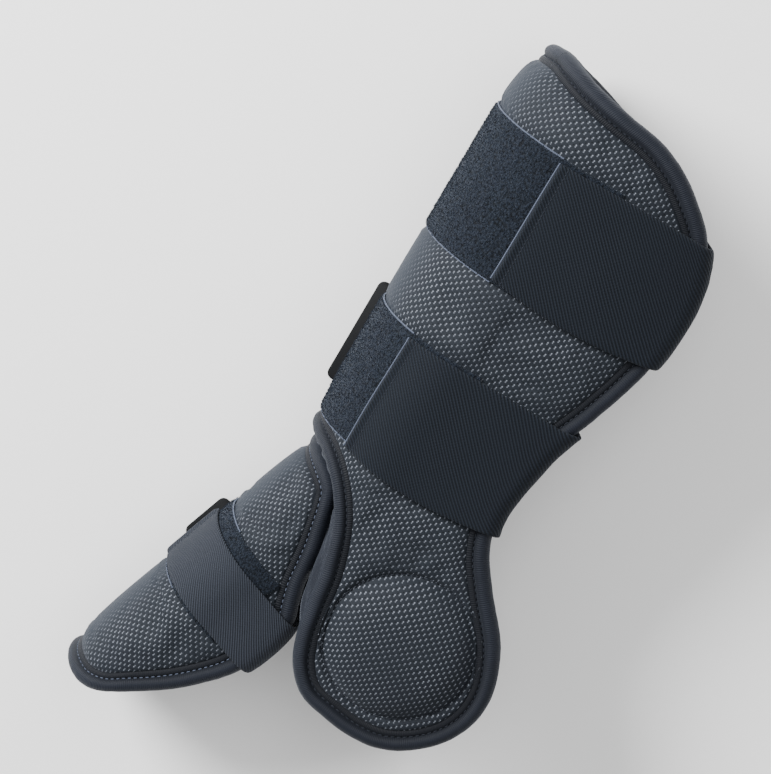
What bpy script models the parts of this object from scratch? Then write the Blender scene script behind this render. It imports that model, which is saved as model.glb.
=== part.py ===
"""Batter's leg guard lying on its far side. Lengths are in millimetres until a mesh is made.

x runs from the shin's front edge to the back of the calf, y up the leg, z towards the near side.
"""
import math

import bpy
import numpy as np
from mathutils import Vector
from mathutils.geometry import delaunay_2d_cdt

MM = 0.001
GAP = 0.35

# Shin guard
SHIN_LENGTH = 245.0
SHIN_DEPTH = 143.0
CALF_HALF = 57.0
PAD_THICK = 8.0
# Rolled edge round both guards
ROLL_WIDTH = 12.0
ROLL_REACH = 5.0
TONGUE_THICK = 3.0
# Round cup over the ankle bone
CUP_RADIUS = 40.0
CUP_RISE = 9.0
CUP_DEPTH_SHARE = 0.724
CUP_UP_SHARE = -0.314
POCKET_DEPTH = 2.6
SLOT_GAP = 0.5
# Elastic straps and the loop panels under them
STRAP_THICK = 2.2
CALF_STRAP_WIDTH = 70.5
FOOT_STRAP_WIDTH = 38.0
PANEL_THICK = 1.3
PANEL_MARGIN = 2.5
STRAP_LIFT = 2.15
ROLL_LIFT = 2.9
TAB_THICK = 1.6
# Foot guard
FOOT_LENGTH = 194.0
FOOT_DEPTH = 71.0
FOOT_NEAR = 28.0
FOOT_TURN = 19.0
FOOT_START_X = -20.5
FOOT_START_Y = -51.7
# Fabric between the two guards
GUSSET_THICK = 2.0

# Where the shin's bottom edge and front line lie in the shared frame
SHIN_Y0 = -33.0
SHIN_X0 = -25.0

# Columns: up (share of SHIN_LENGTH), set back (share of SHIN_DEPTH), near height, far height,
# nose radius, near edge turned in, far edge turned in (shares of CALF_HALF)
SHIN_STATIONS = [
    (1.02, 0.110, 0.87, 0.90, 0.90, 0.10, 0.00),
    (0.95, 0.035, 0.93, 0.97, 0.97, 0.18, 0.00),
    (0.88, 0.004, 0.98, 1.00, 1.00, 0.24, 0.00),
    (0.75, 0.000, 1.00, 1.00, 1.00, 0.25, 0.00),
    (0.54, 0.000, 1.00, 1.00, 1.00, 0.25, 0.00),
    (0.34, 0.000, 0.95, 1.00, 0.97, 0.21, 0.00),
    (0.13, 0.000, 0.86, 1.00, 0.92, 0.14, 0.00),
    (0.01, 0.010, 0.83, 1.00, 0.88, 0.10, 0.00),
    (-0.11, 0.021, 0.81, 0.97, 0.84, 0.07, 0.00),
    (-0.31, 0.021, 0.82, 0.90, 0.80, 0.07, 0.00),
    (-0.60, 0.021, 0.77, 0.90, 0.77, 0.07, 0.00),
]

# Columns: side (1 near, -1 far), depth (share of SHIN_DEPTH), up (share of SHIN_LENGTH)
SHIN_EDGE = [
    (1, 0.130, 1.000),
    (1, 0.190, 0.993),
    (1, 0.290, 0.979),
    (1, 0.437, 0.963),
    (1, 0.594, 0.947),
    (1, 0.715, 0.915),
    (1, 0.815, 0.873),
    (1, 0.905, 0.823),
    (1, 0.960, 0.762),
    (1, 0.990, 0.694),
    (1, 0.999, 0.604),
    (1, 0.975, 0.486),
    (1, 0.915, 0.365),
    (1, 0.845, 0.255),
    (1, 0.805, 0.140),
    (1, 0.793, 0.050),
    (1, 0.835, -0.030),
    (1, 0.925, -0.105),
    (1, 1.050, -0.197),
    (1, 1.118, -0.289),
    (1, 1.126, -0.370),
    (1, 1.080, -0.445),
    (1, 0.985, -0.507),
    (1, 0.870, -0.546),
    (1, 0.749, -0.557),
    (1, 0.625, -0.549),
    (1, 0.500, -0.530),
    (1, 0.410, -0.478),
    (1, 0.362, -0.410),
    (1, 0.335, -0.330),
    (1, 0.318, -0.250),
    (1, 0.272, -0.160),
    (1, 0.200, -0.092),
    (1, 0.128, -0.052),
    (1, 0.060, -0.034),
    (0, 0.000, -0.030),
    (-1, 0.060, -0.030),
    (-1, 0.200, -0.035),
    (-1, 0.400, -0.042),
    (-1, 0.570, -0.040),
    (-1, 0.655, 0.005),
    (-1, 0.672, 0.080),
    (-1, 0.675, 0.165),
    (-1, 0.690, 0.260),
    (-1, 0.730, 0.370),
    (-1, 0.765, 0.490),
    (-1, 0.778, 0.600),
    (-1, 0.778, 0.700),
    (-1, 0.755, 0.790),
    (-1, 0.690, 0.850),
    (-1, 0.580, 0.885),
    (-1, 0.430, 0.910),
    (-1, 0.310, 0.935),
    (-1, 0.200, 0.957),
    (-1, 0.130, 0.975),
    (0, 0.080, 0.990),
]

# Columns: along to the toe (share of FOOT_LENGTH), set in (share of FOOT_DEPTH), near height
# (share of FOOT_NEAR), nose depth (share of FOOT_DEPTH), edge turned in (share of FOOT_DEPTH)
FOOT_STATIONS = [
    (-0.06, 0.020, 0.96, 0.48, 0.00),
    (0.10, 0.000, 1.00, 0.48, 0.00),
    (0.50, 0.000, 1.00, 0.48, 0.00),
    (0.75, 0.000, 0.96, 0.47, 0.00),
    (0.90, 0.020, 0.84, 0.45, 0.00),
    (0.97, 0.070, 0.70, 0.42, 0.00),
]

# Columns: depth (share of FOOT_DEPTH), along to the toe (share of FOOT_LENGTH); near half of the loop
FOOT_EDGE = [
    (0.000, -0.042),
    (0.140, -0.041),
    (0.330, -0.024),
    (0.445, 0.018),
    (0.545, 0.068),
    (0.645, 0.125),
    (0.725, 0.185),
    (0.795, 0.240),
    (0.880, 0.288),
    (0.962, 0.335),
    (0.998, 0.410),
    (0.996, 0.500),
    (0.960, 0.575),
    (0.880, 0.650),
    (0.780, 0.722),
    (0.660, 0.790),
    (0.530, 0.852),
    (0.400, 0.905),
    (0.250, 0.945),
    (0.110, 0.962),
    (0.000, 0.967),
]

# Roll section, clockwise seen along the edge. Columns: in from the outer edge (share of
# ROLL_WIDTH), out from the cover's face (share of ROLL_WIDTH)
ROLL_OUTSIDE = [
    (1.00, -0.10),
    (0.84, 0.09),
    (0.50, 0.18),
    (0.17, 0.06),
    (0.00, -0.28),
    (0.08, -0.57),
    (0.34, -0.78),
    (0.68, -0.80),
    (1.00, -0.70),
]

# Columns: share of CUP_RADIUS, share of CUP_RISE
CUP_RINGS = [(1.0, 0.05), (0.93, 0.42), (0.78, 0.74), (0.5, 0.94), (0.22, 1.0)]

# Steps of the shared lines and of the outlines
SHIN_GRID = 15.0
RING_STEP = 13.5


def scene_empty():
    for thing in list(bpy.data.objects):
        bpy.data.objects.remove(thing, do_unlink=True)


class Skin:
    """A guard's outer face: a rounded nose and two flat sides, over a girth and an along coordinate."""

    def __init__(self, start, along, depth, table, quarter, spread):
        self.start, self.along, self.depth = start, along, depth
        self.table = np.array(sorted(table))
        self.quarter, self.spread = quarter, spread

    def row(self, v):
        spread = [np.asarray(v, float) + d for d in (-12, -8, -4, 0, 4, 8, 12)]
        return [sum(np.interp(s, self.table[:, 0], self.table[:, k]) for s in spread) / 7
                for k in range(1, 7)]

    def girth(self, side, depth, v):
        front, _, _, nose, _, _ = self.row(v)
        behind = depth - front
        if behind <= 0 or side == 0:
            return 0.0
        if behind < nose:
            return side * self.quarter * math.acos(1 - behind / nose) / (math.pi / 2)
        return side * (self.quarter + behind - nose)

    def point(self, g, v):
        g, v = np.asarray(g, float), np.asarray(v, float)
        front, near, far, nose, turn_near, turn_far = self.row(v)
        mid = (near + far) / 2
        tall = np.where(g >= 0, near - mid, mid - far)
        angle = np.clip(np.abs(g) / self.quarter, 0, 1) * math.pi / 2
        past = np.maximum(np.abs(g) - self.quarter, 0)
        turn = np.where(g >= 0, turn_near, turn_far) * (past / self.spread) ** 2
        depth = front + nose * (1 - np.cos(angle)) + past
        rise = np.sign(g) * (tall * np.sin(angle) - turn)
        flat = self.start + v[..., None] * self.along + depth[..., None] * self.depth
        return np.concatenate([flat, (mid + rise)[..., None]], -1)

    def frame(self, g, v):
        """Point, outward normal, and the unit steps along the girth and along the guard."""
        g, v = np.asarray(g, float), np.asarray(v, float)
        step = 0.2
        a = self.point(g + step, v) - self.point(g - step, v)
        b = self.point(g, v + step) - self.point(g, v - step)
        n = np.cross(a, b)
        flip = np.sign(self.depth[0] * self.along[1] - self.depth[1] * self.along[0])
        n *= flip / np.linalg.norm(n, axis=-1, keepdims=True)
        a /= np.linalg.norm(a, axis=-1, keepdims=True)
        b /= np.linalg.norm(b, axis=-1, keepdims=True)
        return self.point(g, v), n, a, b

    def lift(self, g, v, height):
        p, n, _, _ = self.frame(g, v)
        return p + n * np.asarray(height, float)[..., None]


def smooth_loop(points, step):
    """A closed curve through the points, with even steps."""
    p = np.array(points, float)
    n = len(p)
    dense = []
    for i in range(n):
        a, b, c, d = p[i - 1], p[i], p[(i + 1) % n], p[(i + 2) % n]
        for t in np.linspace(0, 1, 12, endpoint=False):
            dense.append(
                0.5 * (2 * b + (c - a) * t + (2 * a - 5 * b + 4 * c - d) * t**2
                       + (3 * b - a - 3 * c + d) * t**3)
            )
    dense = np.array(dense + [dense[0]])
    far = np.concatenate([[0], np.cumsum(np.linalg.norm(np.diff(dense, axis=0), axis=1))])
    count = max(12, round(far[-1] / step))
    at = np.linspace(0, far[-1], count, endpoint=False)
    return np.stack([np.interp(at, far, dense[:, k]) for k in (0, 1)], 1)


def loop_out(loop):
    """Unit vectors pointing out of a closed loop, in its own plane."""
    t = np.roll(loop, -1, 0) - np.roll(loop, 1, 0)
    t /= np.linalg.norm(t, axis=1)[:, None]
    out = np.stack([t[:, 1], -t[:, 0]], 1)
    area = np.sum(loop[:, 0] * np.roll(loop[:, 1], -1) - loop[:, 1] * np.roll(loop[:, 0], -1))
    return out if area > 0 else -out


def inside(points, loop):
    x, y = points[:, 0], points[:, 1]
    hit = np.zeros(len(points), bool)
    for a, b in zip(loop, np.roll(loop, -1, 0)):
        if a[1] != b[1]:
            crosses = (a[1] > y) != (b[1] > y)
            hit ^= crosses & (x < (b[0] - a[0]) * (y - a[1]) / (b[1] - a[1]) + a[0])
    return hit


def off_loop(points, loop):
    """How far each point is from a closed loop."""
    a, b = loop, np.roll(loop, -1, 0)
    d = b - a
    t = np.clip(((points[:, None] - a) * d).sum(2) / (d * d).sum(1), 0, 1)
    return np.linalg.norm(points[:, None] - (a + t[..., None] * d), axis=2).min(1)


def make_object(name, points, faces, colour, smooth=True):
    mesh = bpy.data.meshes.new(name)
    mesh.from_pydata([tuple(p * MM) for p in points], [], faces)
    mesh.validate()
    mesh.update()
    thing = bpy.data.objects.new(name, mesh)
    bpy.context.scene.collection.objects.link(thing)
    mesh.polygons.foreach_set("use_smooth", [smooth] * len(mesh.polygons))
    mat = bpy.data.materials.new(name)
    mat.use_nodes = True
    mat.node_tree.nodes["Principled BSDF"].inputs["Base Color"].default_value = (*colour, 1)
    mat.node_tree.nodes["Principled BSDF"].inputs["Roughness"].default_value = 0.8
    mat.diffuse_color = (*colour, 1)
    mesh.materials.append(mat)
    return thing


def outward(thing):
    """Turn all faces out, judged by the solid's volume."""
    mesh = thing.data
    volume = 0.0
    for poly in mesh.polygons:
        v = [mesh.vertices[i].co for i in poly.vertices]
        for k in range(1, len(v) - 1):
            volume += v[0].dot(v[k].cross(v[k + 1]))
    if volume < 0:
        mesh.flip_normals()
    return thing


def grid_solid(name, outer, inner, colour):
    """A closed shell between two grids of points with the same rows and columns."""
    rows, cols = outer.shape[:2]
    n = rows * cols

    def at(i, j):
        return i * cols + j

    faces = []
    for i in range(rows - 1):
        for j in range(cols - 1):
            faces.append((at(i, j), at(i + 1, j), at(i + 1, j + 1), at(i, j + 1)))
            faces.append((n + at(i, j), n + at(i, j + 1), n + at(i + 1, j + 1), n + at(i + 1, j)))
    for i in range(rows - 1):
        faces.append((at(i, 0), n + at(i, 0), n + at(i + 1, 0), at(i + 1, 0)))
        last = cols - 1
        faces.append((at(i, last), at(i + 1, last), n + at(i + 1, last), n + at(i, last)))
    for j in range(cols - 1):
        faces.append((at(0, j), at(0, j + 1), n + at(0, j + 1), n + at(0, j)))
        last = rows - 1
        faces.append((at(last, j), n + at(last, j), n + at(last, j + 1), at(last, j + 1)))
    points = np.concatenate([outer.reshape(-1, 3), inner.reshape(-1, 3)])
    return outward(make_object(name, points, faces, colour))


def sweep_solid(name, skin, loop, colour):
    """The rolled edge: a slotted roll carried round the guard's outline."""
    out2 = loop_out(loop)
    slot_in = ROLL_WIDTH - ROLL_REACH - SLOT_GAP
    top = -(PAD_THICK - TONGUE_THICK) / 2 + SLOT_GAP
    low = top - TONGUE_THICK - 2 * SLOT_GAP
    section = [(-s * ROLL_WIDTH, h * ROLL_WIDTH) for s, h in ROLL_OUTSIDE]
    section += [(-ROLL_WIDTH, low), (-slot_in, low), (-slot_in, top), (-ROLL_WIDTH, top)]
    rings = []
    for back, height in section:
        at = loop + out2 * back
        rings.append(skin.lift(at[:, 0], at[:, 1], np.full(len(loop), height)))
    rings = np.array(rings).transpose(1, 0, 2)
    count, size = rings.shape[:2]
    faces = []
    for i in range(count):
        k = (i + 1) % count
        for j in range(size):
            m = (j + 1) % size
            faces.append((i * size + j, i * size + m, k * size + m, k * size + j))
    return outward(make_object(name, rings.reshape(-1, 3), faces, colour))


def cover_solid(name, skin, loop, grid, colour, extra=()):
    """The padded cover inside the rolled edge. Extra rings: (loop, top height)."""
    out2 = loop_out(loop)
    tongue_top = -(PAD_THICK - TONGUE_THICK) / 2
    tongue_low = tongue_top - TONGUE_THICK
    reach = ROLL_WIDTH - ROLL_REACH
    rings = [
        (loop - out2 * reach, tongue_top, tongue_low),
        (loop - out2 * (ROLL_WIDTH + GAP), tongue_top, tongue_low),
        (loop - out2 * (ROLL_WIDTH + 1.2), 0.0, -PAD_THICK),
    ]
    points, tops, lows, edges = [], [], [], []
    for ring, top, low in rings + [(r, t, -PAD_THICK) for r, t in extra]:
        first = len(points)
        points += [tuple(q) for q in ring]
        tops += [top] * len(ring)
        lows += [low] * len(ring)
        edges += [(first + i, first + (i + 1) % len(ring)) for i in range(len(ring))]
    gs, vs = grid
    lattice = np.array([(g, v) for g in gs for v in vs])
    keep = inside(lattice, rings[2][0]) & (off_loop(lattice, rings[2][0]) > 5.0)
    for ring, _ in extra[:1]:
        keep &= ~inside(lattice, ring) & (off_loop(lattice, ring) > 4.0)
    free = [(q, 0.0) for q in lattice[keep]] + [(r.mean(0), h) for r, h in extra[-1:]]
    for q, h in free:
        points.append(tuple(q))
        tops.append(h)
        lows.append(-PAD_THICK)
    flat = [Vector(q) for q in points]
    verts, _, tris, origin, _, _ = delaunay_2d_cdt(flat, edges, [], 1, 1e-4)
    flat = np.array([tuple(v) for v in verts])
    given = np.array(points)
    place = np.array([o[0] if o else int(np.hypot(*(given - q).T).argmin())
                      for o, q in zip(origin, flat)])
    middle = np.array([flat[list(t)].mean(0) for t in tris])
    held = inside(middle, rings[0][0])
    tris = [t for t, h in zip(tris, held) if h]
    tops, lows = np.array(tops)[place], np.array(lows)[place]
    up = skin.lift(flat[:, 0], flat[:, 1], tops)
    down = skin.lift(flat[:, 0], flat[:, 1], lows)
    n = len(flat)
    faces = [tuple(t) for t in tris] + [(n + t[2], n + t[1], n + t[0]) for t in tris]
    sides = {}
    for t in tris:
        for i in range(3):
            e = (t[i], t[(i + 1) % 3])
            if (e[1], e[0]) in sides:
                del sides[(e[1], e[0])]
            else:
                sides[e] = True
    faces += [(b, a, n + a, n + b) for a, b in sides]
    return outward(make_object(name, np.concatenate([up, down]), faces, colour))


def cup_solid(name, skin, centre, colour):
    """The round ankle cup, seated in its pocket."""
    turn = np.linspace(0, 2 * math.pi, 28, endpoint=False)
    low = -POCKET_DEPTH + GAP
    rings = [(CUP_RADIUS * 0.33, low), (CUP_RADIUS * 0.66, low), (CUP_RADIUS, low)]
    rings += [(share * CUP_RADIUS, rise * CUP_RISE) for share, rise in CUP_RINGS]
    points, faces = [], []
    for r, h in rings:
        g = centre[0] + r * np.cos(turn)
        v = centre[1] + r * np.sin(turn)
        points += list(skin.lift(g, v, np.full(len(turn), h)))
    size, layers = len(turn), len(rings)
    c = np.array([centre[0]]), np.array([centre[1]])
    points += list(skin.lift(*c, np.array([CUP_RISE * 1.02])))
    points += list(skin.lift(*c, np.array([low])))
    top = len(points) - 2
    for j in range(size):
        m = (j + 1) % size
        for k in range(layers - 1):
            faces.append((k * size + j, k * size + m, (k + 1) * size + m, (k + 1) * size + j))
        faces.append((layers * size - size + j, layers * size - size + m, top))
        faces.append((m, j, top + 1))
    return outward(make_object(name, np.array(points), faces, colour))


def panel_solid(name, skin, gs, vs, colour):
    """A flat loop panel laid on a cover."""
    g, v = np.meshgrid(gs, vs)
    outer = skin.lift(g, v, np.full(g.shape, GAP + PANEL_THICK))
    inner = skin.lift(g, v, np.full(g.shape, GAP))
    return grid_solid(name, outer, inner, colour)


def strap_lines(skin, v, near_g, end_depth, edge, columns, panel_end):
    """One lengthwise line of a strap: points on its inner face and outward directions.

    It lies on the near side, turns over the rolled edge, crosses the open back, and lies flat
    on the far side, running straight on past the nose to its end."""
    near_edge, far_edge = edge(1, v), edge(-1, v)
    points, outs = [], []
    side = [g for g in columns if near_g + 3 < g < columns[-1] - 4]
    for g in [near_g] + side + [near_edge - 10]:
        p, n, _, _ = skin.frame(g, v)
        reach = np.clip((g - panel_end) / max(near_edge - 9 - panel_end, 1), 0, 1)
        points.append(p + n * (STRAP_LIFT + (ROLL_LIFT - STRAP_LIFT) * reach))
        outs.append(n)
    depth3 = np.array([*skin.depth, 0.0])
    up3 = np.array([0.0, 0.0, 1.0])
    round_z = ROLL_WIDTH / 2 + ROLL_LIFT - 0.18 * ROLL_WIDTH
    round_x = round_z + 0.9
    near_end = skin.point(near_edge, v)
    far_end = skin.point(-far_edge, v)
    back = (near_end - far_end)[:2] @ skin.depth
    lean = math.degrees(math.atan2(back, near_end[2] - far_end[2]))
    turns = ((1, near_edge, np.linspace(75, -lean, 4)), (-1, far_edge, np.linspace(-lean, -90, 4)))
    for side_sign, g_edge, angles in turns:
        p, n, a, _ = skin.frame(side_sign * g_edge, v)
        middle = p - a * side_sign * ROLL_WIDTH / 2 - n * 0.32 * ROLL_WIDTH
        for deg in angles:
            c, s = math.cos(math.radians(deg)), math.sin(math.radians(deg))
            q = middle + depth3 * round_x * c + up3 * round_z * s
            out = depth3 * c + up3 * s
            if side_sign == -1 and deg == -lean:
                points.append((points[-1] + q) / 2)
                outs.append(out)
            points.append(q)
            outs.append(out)
    side = [g for g in reversed(columns) if skin.quarter - 1 < g < columns[-1] - 4]
    for g in [far_edge - 10] + side:
        p, n, _, _ = skin.frame(-g, v)
        points.append(p + n * ROLL_LIFT)
        outs.append(-up3)
    last = points[-1]
    front = skin.start + v * skin.along
    here = (last[:2] - front) @ skin.depth
    for share in (0.5, 1.0):
        q = last.copy()
        q[:2] += skin.depth * (end_depth - here) * share
        points.append(q)
        outs.append(-up3)
    return np.array(points), np.array(outs)


def strap_solid(name, skin, lines, near_g, end_depth, edge, columns, panel_end, colour):
    inner, outer = [], []
    shortest = min(edge(side, v) for v in lines for side in (1, -1)) - 14
    columns = np.array([g for g in columns if g < shortest] + [shortest])
    for v in lines:
        p, n = strap_lines(skin, v, near_g, end_depth, edge, columns, panel_end)
        inner.append(p)
        outer.append(p + n * STRAP_THICK)
    return grid_solid(name, np.array(outer), np.array(inner), colour), np.array(inner)


def tab_solid(name, skin, lines, strap_inner, start_depth, end_depth, shift, colour):
    """The stiff tab sewn on the strap's far end, lying on its inner face."""
    rows_low, rows_top = [], []
    for v, line in zip((lines[0] + 3, lines[-1] - 3), (strap_inner[0], strap_inner[-1])):
        z = line[-1][2]
        front = skin.start + (v + shift) * skin.along
        low, top = [], []
        for depth in np.linspace(start_depth, end_depth, 4):
            q = front + skin.depth * depth
            low.append([*q, z + GAP])
            top.append([*q, z + GAP + TAB_THICK])
        rows_low.append(low)
        rows_top.append(top)
    return grid_solid(name, np.array(rows_low), np.array(rows_top), colour)


def end_at(loop, g):
    """The least place along the guard at which the outline has this girth."""
    hits = []
    for a, b in zip(loop, np.roll(loop, -1, 0)):
        if (a[0] - g) * (b[0] - g) <= 0 and a[0] != b[0]:
            hits.append(a[1] + (b[1] - a[1]) * (g - a[0]) / (b[0] - a[0]))
    return min(hits)


def gusset_solid(name, shin, shin_loop, foot, foot_loop, colour):
    """The fabric that joins the two guards, from under one rolled edge to under the other."""
    under = -0.80 * ROLL_WIDTH - GAP
    outer, inner = [], []
    for share in np.linspace(-0.95, 0.60, 14):
        g = share * shin.quarter
        f = share * foot.quarter
        top, low = end_at(shin_loop, g), end_at(foot_loop, f)
        rows = [(shin, g, top + 7, under), (shin, g, top - 1, under - 1.6),
                (foot, f, low - 3, under - 1.4), (foot, f, low + 7, under)]
        outer.append([s.lift(a, v, h) for s, a, v, h in rows])
        inner.append([s.lift(a, v, h - GUSSET_THICK) for s, a, v, h in rows])
    return grid_solid(name, np.array(outer), np.array(inner), colour)


def edge_lookup(loop, skin):
    """The girth of the outline's back edge on either side, at a place along the guard."""
    def edge(side, v):
        best = 0.0
        for a, b in zip(loop, np.roll(loop, -1, 0)):
            if (a[1] - v) * (b[1] - v) <= 0 and a[1] != b[1]:
                g = a[0] + (b[0] - a[0]) * (v - a[1]) / (b[1] - a[1])
                best = max(best, g * side)
        return best
    return edge


def shin_skin():
    quarter = CALF_HALF * 1.49
    table = []
    for up, back, near, far, nose, turn_near, turn_far in SHIN_STATIONS:
        table.append((up * SHIN_LENGTH, back * SHIN_DEPTH, near * CALF_HALF, -far * CALF_HALF,
                      nose * CALF_HALF, turn_near * CALF_HALF, turn_far * CALF_HALF))
    start = np.array([SHIN_X0, SHIN_Y0])
    return Skin(start, np.array([0.0, 1.0]), np.array([1.0, 0.0]), table, quarter,
                SHIN_DEPTH * 0.66)


def foot_skin():
    quarter = FOOT_DEPTH * 0.84
    turn = math.radians(FOOT_TURN)
    table = []
    for along, inset, near, nose, turned in FOOT_STATIONS:
        table.append((along * FOOT_LENGTH, inset * FOOT_DEPTH, near * FOOT_NEAR, -CALF_HALF,
                      nose * FOOT_DEPTH, turned * FOOT_DEPTH, 0.0))
    start = np.array([FOOT_START_X, FOOT_START_Y])
    along = np.array([-math.sin(turn), -math.cos(turn)])
    depth = np.array([math.cos(turn), -math.sin(turn)])
    return Skin(start, along, depth, table, quarter, FOOT_DEPTH * 0.6)


def lines_between(low, high, step):
    count = max(2, round((high - low) / step) + 1)
    return np.linspace(low, high, count)


def girth_lines(skin, reach):
    """Shared girth lines, so that layers over one another have the same facets."""
    nose = [skin.quarter * k / 7 for k in range(8)]
    side = list(np.arange(skin.quarter + SHIN_GRID, reach, SHIN_GRID))
    return np.array(nose + side)


def both_sides(lines):
    return np.array(sorted({*(-lines), *lines}))


def build():
    scene_empty()
    dark = (0.030, 0.034, 0.048)
    edge_dark = (0.018, 0.022, 0.032)
    fuzzy = (0.045, 0.052, 0.070)
    elastic = (0.024, 0.028, 0.042)
    black = (0.010, 0.010, 0.012)

    shin = shin_skin()
    points = []
    for side, depth, up in SHIN_EDGE:
        v = up * SHIN_LENGTH
        points.append((shin.girth(side, depth * SHIN_DEPTH, v), v))
    shin_loop = smooth_loop(points, RING_STEP)
    shin_edge = edge_lookup(shin_loop, shin)
    lines = girth_lines(shin, SHIN_DEPTH * 1.4)
    ups = lines_between(-0.55 * SHIN_LENGTH, 0.98 * SHIN_LENGTH, 21.0)
    cup_up = CUP_UP_SHARE * SHIN_LENGTH
    cup_at = (shin.girth(1, CUP_DEPTH_SHARE * SHIN_DEPTH, cup_up), cup_up)
    turn = np.linspace(0, 2 * math.pi, 28, endpoint=False)
    circle = np.stack([np.cos(turn), np.sin(turn)], 1)
    pocket = [(np.array(cup_at) + circle * (CUP_RADIUS + 2 * GAP), 0.0)]
    for radius in (CUP_RADIUS + GAP, CUP_RADIUS * 0.66, CUP_RADIUS * 0.33):
        pocket.append((np.array(cup_at) + circle * radius, -POCKET_DEPTH))
    cover_solid("shin_cover", shin, shin_loop, (both_sides(lines), ups), dark, pocket)
    sweep_solid("shin_binding", shin, shin_loop, edge_dark)
    cup_solid("ankle_cup", shin, cup_at, dark)

    half = CALF_STRAP_WIDTH / 2
    for word, middle, near_depth, panel_depth, tab_depth in (
        ("upper", 0.659, 0.308, 0.56, 0.05),
        ("lower", 0.159, 0.165, 0.45, -0.055),
    ):
        low, high = middle * SHIN_LENGTH - half, middle * SHIN_LENGTH + half
        rows = lines_between(low, high, 18.0)
        panel_g = shin.girth(1, panel_depth * SHIN_DEPTH, middle * SHIN_LENGTH)
        near_g = shin.girth(1, near_depth * SHIN_DEPTH, middle * SHIN_LENGTH)
        held = [g for g in both_sides(lines) if -shin.quarter - 20 < g < panel_g - 5]
        panel_low = low - PANEL_MARGIN if word == "upper" else low + 1.8
        panel_rows = np.array([panel_low, *rows[1:-1], high + PANEL_MARGIN])
        panel_solid(word + "_loop_panel", shin, np.array(held + [panel_g]), panel_rows, fuzzy)
        _, inner = strap_solid(word + "_calf_strap", shin, rows, near_g,
                               (tab_depth + 0.13) * SHIN_DEPTH, shin_edge, lines, panel_g, elastic)
        tab_solid(word + "_strap_tab", shin, rows, inner, (tab_depth + 0.26) * SHIN_DEPTH,
                  tab_depth * SHIN_DEPTH, 0.0, black)

    foot = foot_skin()
    half_loop = []
    for depth, along in FOOT_EDGE:
        v = along * FOOT_LENGTH
        half_loop.append((foot.girth(1, depth * FOOT_DEPTH + foot.row(v)[0], v), v))
    half_loop[0] = (0.0, half_loop[0][1])
    half_loop[-1] = (0.0, half_loop[-1][1])
    far_loop = [(-g, v) for g, v in reversed(half_loop[1:-1])]
    foot_loop = smooth_loop(half_loop + far_loop, RING_STEP)
    foot_edge = edge_lookup(foot_loop, foot)
    foot_lines = girth_lines(foot, FOOT_DEPTH * 1.6)
    ups = lines_between(0.0, 0.93 * FOOT_LENGTH, 19.0)
    cover_solid("foot_cover", foot, foot_loop, (both_sides(foot_lines), ups), dark)
    sweep_solid("foot_binding", foot, foot_loop, edge_dark)
    low = 0.335 * FOOT_LENGTH
    high = low + FOOT_STRAP_WIDTH
    rows = lines_between(low, high, 12.0)
    panel_g = foot.girth(1, 0.58 * FOOT_DEPTH, low)
    panel_rows = np.array([low - 9.5, *rows, high + PANEL_MARGIN])
    held = [g for g in both_sides(foot_lines) if -foot.quarter - 1 < g < panel_g - 4]
    panel_solid("foot_loop_panel", foot, np.array(held + [panel_g]), panel_rows, fuzzy)
    near_g = 0.03 * foot.quarter
    _, inner = strap_solid("foot_strap", foot, rows, near_g, 0.09 * FOOT_DEPTH,
                           foot_edge, foot_lines, panel_g, elastic)
    tab_solid("foot_strap_tab", foot, rows, inner, 0.32 * FOOT_DEPTH, -0.06 * FOOT_DEPTH, 3.0, black)

    gusset_solid("ankle_gusset", shin, shin_loop, foot, foot_loop, elastic)
    to_floor()


def to_floor():
    """Put the origin under the middle of everything, at the height that it rests on."""
    every = [v.co.copy() for o in bpy.data.objects for v in o.data.vertices]
    low = Vector([min(c[k] for c in every) for k in range(3)])
    high = Vector([max(c[k] for c in every) for k in range(3)])
    shift = Vector([-(low.x + high.x) / 2, -(low.y + high.y) / 2, -low.z])
    for thing in bpy.data.objects:
        for v in thing.data.vertices:
            v.co += shift
        thing.data.update()
    print("moved by mm", [round(c * 1000, 2) for c in shift])
    print("size mm", [round(c * 1000, 1) for c in high - low])


build()
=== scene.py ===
"""Batter's leg guard: its cloth, rolled edges, straps and stitching, and the stage it lies on.

Lengths are in millimetres on the leg's own axes (x to the back of the calf, y up the leg,
z towards the near side) until a mesh is made.
"""

import math

import bpy
import numpy as np
from bpy.props import FloatProperty, FloatVectorProperty, PointerProperty
from mathutils import Matrix, Vector, noise
from mathutils.geometry import delaunay_2d_cdt


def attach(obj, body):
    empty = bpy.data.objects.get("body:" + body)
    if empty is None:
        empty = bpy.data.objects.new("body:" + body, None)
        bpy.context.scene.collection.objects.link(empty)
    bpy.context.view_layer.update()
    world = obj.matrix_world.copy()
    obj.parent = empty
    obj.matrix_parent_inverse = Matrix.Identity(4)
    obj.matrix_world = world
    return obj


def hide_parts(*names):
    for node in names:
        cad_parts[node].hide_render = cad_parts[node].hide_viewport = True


bl_info = {
    "name": "Batter's leg guard",
    "version": (1, 0, 0),
    "blender": (4, 5, 0),
    "location": "View3D > Sidebar > Leg Guard",
    "description": "Builds the cloth, edges, straps and stitching of a batter's leg guard",
    "category": "Object",
}

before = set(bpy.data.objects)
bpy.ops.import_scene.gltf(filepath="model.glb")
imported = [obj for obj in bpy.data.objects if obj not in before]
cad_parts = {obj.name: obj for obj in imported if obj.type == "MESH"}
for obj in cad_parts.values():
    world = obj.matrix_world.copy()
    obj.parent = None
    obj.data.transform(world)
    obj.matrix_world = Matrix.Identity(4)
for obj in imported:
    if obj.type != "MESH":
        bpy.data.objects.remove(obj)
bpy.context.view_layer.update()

MM = 0.001
# Where the leg axes' origin lies in the frame
SHIFT = np.array([-28.72, 10.99, 62.1])
FLOOR_HEIGHT = 0.03 - SHIFT[2]

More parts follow.
